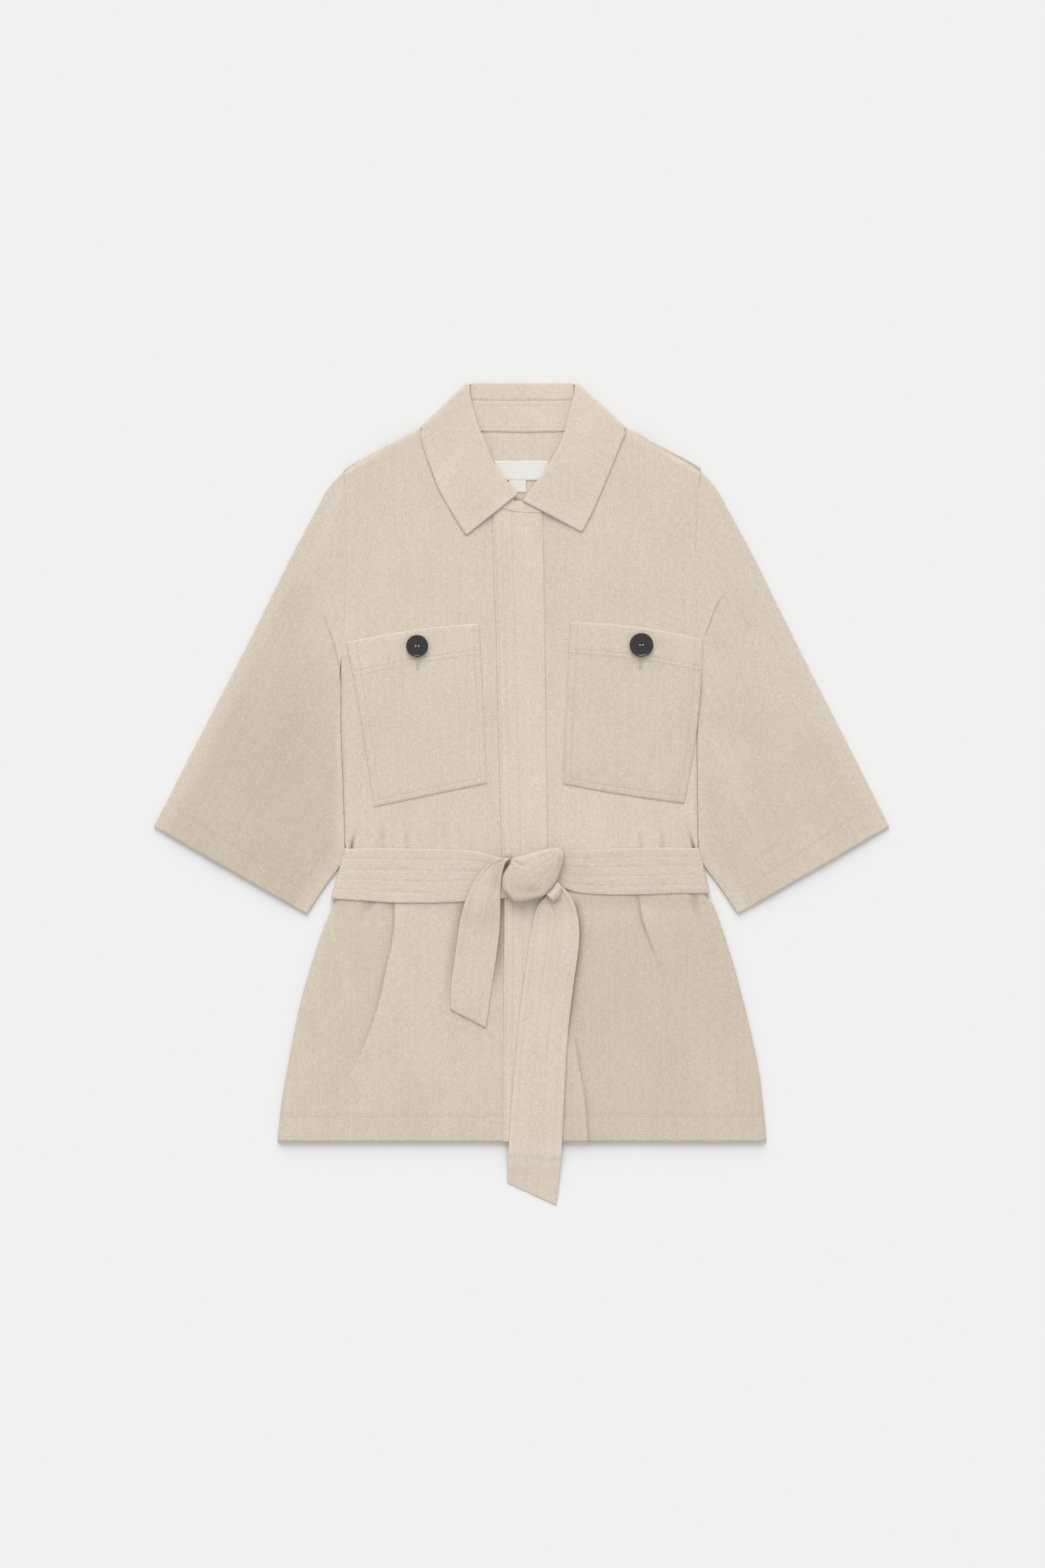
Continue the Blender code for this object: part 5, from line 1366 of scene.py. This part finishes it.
def build_button(side):
    """Four-hole button: a disc with a rounded rim, a dished face and drilled holes."""
    name = "button_" + side
    radius = BUTTONS[side].diameter / 2 * MM
    low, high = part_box(name)
    base = low.z
    centre = (low + high) / 2
    bpy.ops.object.select_all(action="DESELECT")
    bpy.ops.mesh.primitive_cylinder_add(vertices=72, radius=radius, depth=BUTTON_THICK * MM,
                                        location=(centre.x, centre.y, base + BUTTON_THICK / 2 * MM))
    piece = bpy.context.active_object
    piece.name = name + "_disc"
    piece.data.name = piece.name
    bpy.ops.object.transform_apply(location=True, rotation=True, scale=True)
    bpy.ops.object.mode_set(mode="EDIT")
    mesh = bmesh.from_edit_mesh(piece.data)
    for face in mesh.faces:
        face.select_set(face.normal.z > 0.9 and len(face.verts) > 4)
    bmesh.update_edit_mesh(piece.data)
    for share, drop in BUTTON_STEPS:
        bpy.ops.mesh.inset(thickness=radius * share, depth=-drop * MM)
    bpy.ops.object.mode_set(mode="OBJECT")
    drills = []
    for across, up in ((-1, -1), (1, -1), (-1, 1), (1, 1)):
        place = (centre.x + across * HOLE_OFFSET * MM, centre.y + up * HOLE_OFFSET * MM, base)
        bpy.ops.mesh.primitive_cylinder_add(vertices=20, radius=HOLE_RADIUS * MM, depth=8 * MM,
                                            location=place)
        drills.append(bpy.context.active_object)
    for drill in drills:
        cut = piece.modifiers.new("hole", "BOOLEAN")
        cut.operation = "DIFFERENCE"
        cut.object = drill
        bpy.context.view_layer.objects.active = piece
        bpy.ops.object.modifier_apply(modifier=cut.name)
        bpy.data.objects.remove(drill, do_unlink=True)
    rounding = piece.modifiers.new("rounding", "BEVEL")
    rounding.width = 0.35 * MM
    rounding.segments = 4
    rounding.limit_method = "ANGLE"
    rounding.angle_limit = math.radians(35)
    bpy.ops.object.modifier_apply(modifier=rounding.name)
    bpy.ops.object.select_all(action="DESELECT")
    piece.select_set(True)
    bpy.ops.object.shade_smooth_by_angle(angle=math.radians(30))
    piece.data.materials.clear()
    piece.data.materials.append(glossy_black(name))
    sewn(piece)
    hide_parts(name)
    x, y, z = centre.x / MM, centre.y / MM, base / MM + 1.75
    arch = ((-1.5, -0.2), (0, 0.6), (1.5, -0.2))
    lines = [[(x + across, y + step, z + rise) for step, rise in arch] for across in (-1.45, 1.45)]
    thread_rows(name, "_thread", lines, LABEL_THREAD, pitch=0.6, stitch=2.6, radius=0.5)


# Belt, knot and tails

def strip_grid(rows, columns):
    """Grid of a strip from rows of its two edges in the plan and its height."""
    shares = np.linspace(0.0, 1.0, columns)[None, :, None]
    plan = lerp(rows[:, None, 0:2], rows[:, None, 2:4], shares)
    return np.concatenate([plan, np.repeat(rows[:, None, 4:5], columns, axis=1)], axis=2)


def strip_uv(grid):
    run = lengths_along(grid).mean(axis=1)
    middle = np.repeat(run[:, None], grid.shape[1], axis=1)
    return np.stack([lengths_along(grid, 1), middle], axis=2), run[-1]


def strip_lines(grid, shares):
    """Lines on top of a strip for stitches, at shares of its width."""
    columns = [int(round(share * (grid.shape[1] - 1))) for share in shares]
    return [along(grid[:, column], step=2.0) + (0.0, 0.0, STITCH_LIFT) for column in columns]


def belt_relief(columns, width, stitch_shares):
    """Height, and painted shade, across a belt with its rows of stitches and pressed edges."""
    share = np.linspace(0.0, 1.0, columns)[None, :]
    relief = pressed(share * width, (1 - share) * width, reach=1.4, drop=0.25)
    trough = np.zeros_like(share)
    for row in stitch_shares:
        dent, shade = groove((share - row) * width, depth=0.26)
        relief = relief + dent
        trough = trough + shade * 0.6
    return relief, trough


def belt_turn(side, angles):
    """Rows of the belt round a side of the body."""
    row = BELT_SIDE[side]
    top = np.array([row.top_x, row.top_y])
    low = np.array([row.low_x, row.low_y])
    out = outward(unit(low - top), SIGN[side])
    radius = (ON_FRONT - GROUND) / 2
    rows = []
    for angle in np.radians(angles):
        shift = out * (radius * (math.cos(angle) - 1) - CLOTH / 2)
        rows.append([*(top + shift), *(low + shift), GROUND + radius + radius * math.sin(angle)])
    return np.array(rows)


def build_belt():
    columns = density(50)
    steps = density(12)
    angles = np.arange(90, -91, -15)
    back_x = np.linspace(-140.0, 140.0, 12)
    right, left = BELT_SIDE["right"], BELT_SIDE["left"]
    share = (back_x - right.top_x) / (left.top_x - right.top_x)
    back = np.column_stack([back_x, lerp(right.top_y, left.top_y, share), back_x * 1.06,
                            lerp(right.low_y, left.low_y, share), np.full(len(back_x), GROUND)])
    fronts = {side: spline(BELT[side], steps) for side in SIGN}
    rows = np.concatenate([fronts["right"], belt_turn("right", angles), back,
                           belt_turn("left", angles[::-1]), fronts["left"][::-1]])
    grid = strip_grid(rows, columns)
    x = grid[:, :, 0]
    y = grid[:, :, 1]
    over = off_ground(grid[:, :, 2])
    relief, trough = belt_relief(columns, 49.0, BELT_ROWS)
    # Painted shade along the stitches, in the knot's slit and more towards the left end, only on the
    # raised layers
    trough = (trough + knot_slit(grid) + 0.13 * smoothstep((x - 30.0) / 30.0)) * over
    grid[:, :, 2] += (lie(x, y) + crumple(x * 0.6, y * 2.2, 91) * 1.2 + relief) * over
    uv, length = strip_uv(grid)
    piece = linen_piece("belt", grid, BELT_LINEN_PAINTED_LIGHTER, 2.9, uv=uv, trough=trough)
    parts = (slice(2, len(fronts["right"]) + 5), slice(-len(fronts["left"]) - 5, -2))
    lines = [line for share in BELT_ROWS for part in parts
             for line in strip_lines(grid[part], [share])]
    for line in lines:
        line[:, 2] -= knot_slit(line)
    stitched = thread_rows("belt", "_stitches", lines)
    declare(grid, (52.0, length + 5.0))


def fray(name, grid):
    """Loose ends of thread along the raw end of a strip of cloth."""
    draw = np.random.default_rng(41)
    direction = unit(grid[-1].mean(axis=0) - grid[-3].mean(axis=0))
    aside = np.array([-direction[1], direction[0], 0.0])
    lines = []
    for spot in along(grid[-1], count=44)[1:-1]:
        start = spot - direction * draw.uniform(0.6, 2.2)
        lines.append([start, start + direction * 3.2 + aside * draw.uniform(-0.9, 0.9)])
    return thread_rows(name, "_fray", lines, pitch=0.2, stitch=3.0, radius=0.2)


def build_tail(name, colour):
    form = TAIL_FORMS[name]
    columns = density(44)
    rows = spline(TAILS[name], density(16))
    grid = strip_grid(rows, columns)
    share = np.linspace(0.0, 1.0, columns)[None, :]
    run = np.linspace(0.0, 1.0, len(rows))[:, None]
    x = grid[:, :, 0]
    y = grid[:, :, 1]
    over = off_ground(grid[:, :, 2])
    bow = 0.9 * np.sin(share * math.pi) * (1 - run) ** 2
    curl = form.curl * bell((share - form.curl_at) / 0.10) * smoothstep((form.curl_end - run) / 0.5)
    gather = form.gather * np.sin(share * form.folds * math.pi + form.phase)
    gather = gather * smoothstep((form.gather_end - run) / form.fade)
    # Painted light where a tail slopes away from the sun: across the long tail where it drops off
    # the hem, and on the short tail's upper part, with a little painted shade at its end
    if name == "belt_tail_long":
        painted_light = -0.28 * bell((y + 343.0) / 12.0)
    else:
        painted_light = 0.07 - 0.3 * (1 - run) ** 2
    relief, trough = belt_relief(columns, 45.0, TAIL_STITCHES[name])
    folds, shade = crease_relief(TAIL_CREASES[name], x, y)
    uneven = (lie(x, y) + crumple(x * 2.0, y * 0.7, 95) * 1.2) * over
    grid[:, :, 2] += uneven + bow + curl + gather + relief + folds
    uv, length = strip_uv(grid)
    piece = linen_piece(name, grid, colour, 3.3, uv=uv, trough=trough + shade + painted_light)
    stitched = [thread_rows(name, "_stitches", strip_lines(grid[3:], TAIL_STITCHES[name]))]
    if name == "belt_tail_short":
        stitched.append(fray(name, grid))
    declare(grid, (form.width, length + 12.0))


def build_knot():
    """Rounded crossing folds of the belt at the knot."""
    steps = density(8)
    around = [KNOT_OUTLINE[-1]] + KNOT_OUTLINE + KNOT_OUTLINE[:3]
    outline = spline(around, steps)[steps:steps * (len(KNOT_OUTLINE) + 1)]
    sides = len(outline)
    centre = outline.mean(axis=0)
    upper = []
    dark = []
    for share in [1.0, 0.993, 0.975, 0.945, *np.linspace(0.91, 0.04, density(34))]:
        plan = lerp(centre, outline, share)
        swell = 0.62 * math.sqrt(max(0.0, 1 - share ** 14)) + 0.38 * (1 - share ** 2)
        folds, trough = crease_relief(KNOT_CREASES, plan[:, 0], plan[:, 1])
        calm = smoothstep((1 - share) / 0.15)
        upper.append(np.column_stack([plan, lerp(KNOT_EDGE_Z, KNOT_TOP, swell) + folds * calm]))
        # Painted shade: a little over the whole knot, more in its creases and dark round its edge
        dark.append(0.2 + trough * calm + 0.4 * smoothstep((share - 0.92) / 0.07))
    lower = []
    for share in (0.975, 0.9, 0.75, 0.5, 0.1):
        fall = math.sqrt(max(0.0, 1 - ((share - 0.6) / 0.4) ** 2)) if share > 0.6 else 1.0
        height = np.full(sides, lerp(KNOT_EDGE_Z, KNOT_BASE, fall))
        lower.append(np.column_stack([lerp(centre, outline, share), height]))
    points = np.concatenate(upper + lower)
    shade = np.concatenate(dark + [np.zeros(sides)] * len(lower))
    rings = [list(range(i * sides, (i + 1) * sides)) for i in range(len(upper + lower))]
    faces = []
    for stack in (rings[:len(upper)], rings[:1] + rings[len(upper):]):
        for a, b in zip(stack, stack[1:]):
            for k in range(sides):
                m = (k + 1) % sides
                faces.append((a[k], a[m], b[m], b[k]))
        faces.append(tuple(stack[-1]))
    turn = math.radians(KNOT_WEAVE_TURN)
    along_band = points[:, 0] * math.cos(turn) + points[:, 1] * math.sin(turn)
    across_band = points[:, 1] * math.cos(turn) - points[:, 0] * math.sin(turn)
    uv = np.column_stack([along_band, across_band])[[index for face in faces for index in face]]
    finish = linen("belt_knot_linen", BELT_LINEN_PAINTED_LIGHTER, 3.9)
    piece = sewn(place_mesh("belt_knot_linen", points, faces, finish, uv, shade))
    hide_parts("belt_knot")


def build_knot_loop():
    """Small turned strip between the knot and the long tail."""
    rows = spline([[*inner, *outer, KNOT_LOOP_Z] for inner, outer in KNOT_LOOP], 6)
    grid = strip_grid(rows, 14)
    grid[:, :, 2] += 2.2 * np.sin(np.linspace(0.0, 1.0, 14) * math.pi) ** 0.7
    loop = sewn(shell("knot_loop_linen", grid, linen("knot_loop_linen", BELT_LINEN_PAINTED_LIGHTER, 4.3)))
    declare(grid, (11.0, 22.0))


def build_labels():
    for name, label in LABELS.items():
        x, y = np.meshgrid(np.linspace(label.left, label.right, 40),
                           np.linspace(label.top, label.low, 16))
        z = GROUND + BACK_LIFT + CLOTH / 2 + 0.55 + 0.12 * waves(x, y, 101, 14.0, 40.0, 8, 1.0)
        finish = plain(name + "_tape", LABEL_WHITE, 0.6, 0.0008, 0.06)
        piece = sewn(shell(name + "_tape", np.stack([x, y, z], axis=2), finish, thick=0.5))
        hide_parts(name)
        low_row = np.column_stack([x[-2], y[-2] + 0.3, z[-2] + 0.3])
        stitched = thread_rows(name, "_stitches", [low_row], LABEL_THREAD)


def build_studio():
    bpy.ops.object.select_all(action="DESELECT")
    bpy.ops.mesh.primitive_plane_add(size=40.0, location=(0.0, 0.0, -0.0002))
    floor = bpy.context.active_object
    floor.name = "floor"
    floor.data.materials.append(plain("pale_floor", FLOOR_PALE, 0.95, 0.3, 0.0))
    sun = bpy.data.lights.new("soft_key", "SUN")
    sun.energy = SUN_STRENGTH
    sun.angle = math.radians(SUN_SPREAD)
    key = bpy.data.objects.new("soft_key", sun)
    key.rotation_euler = Vector(SUN_DIRECTION).to_track_quat("-Z", "Y").to_euler()
    world = bpy.data.worlds.new("pale_room")
    world.use_nodes = True
    background = world.node_tree.nodes["Background"]
    background.inputs["Color"].default_value = (1.0, 1.0, 1.0, 1.0)
    background.inputs["Strength"].default_value = ROOM_STRENGTH
    data = bpy.data.cameras.new("camera")
    data.sensor_width = SENSOR
    data.lens = LENS
    camera = bpy.data.objects.new("camera", data)
    distance = VIEW_HEIGHT * LENS / SENSOR
    camera.location = (VIEW_CENTRE[0] * MM, VIEW_CENTRE[1] * MM, distance * MM)
    scene = bpy.context.scene
    for item in (key, camera):
        scene.collection.objects.link(item)
    scene.world = world
    scene.camera = camera
    scene.view_settings.view_transform = "Standard"


build_studio()
build_back()
for side_name in ("right", "left"):
    build_front(side_name)
    build_sleeve(side_name)
    build_pocket(side_name)
    build_button(side_name)
build_placket()
build_collar()
build_belt()
build_tail("belt_tail_short", LINEN_BODY)
build_tail("belt_tail_long", BELT_LINEN_PAINTED_LIGHTER)
build_knot()
build_knot_loop()
build_labels()
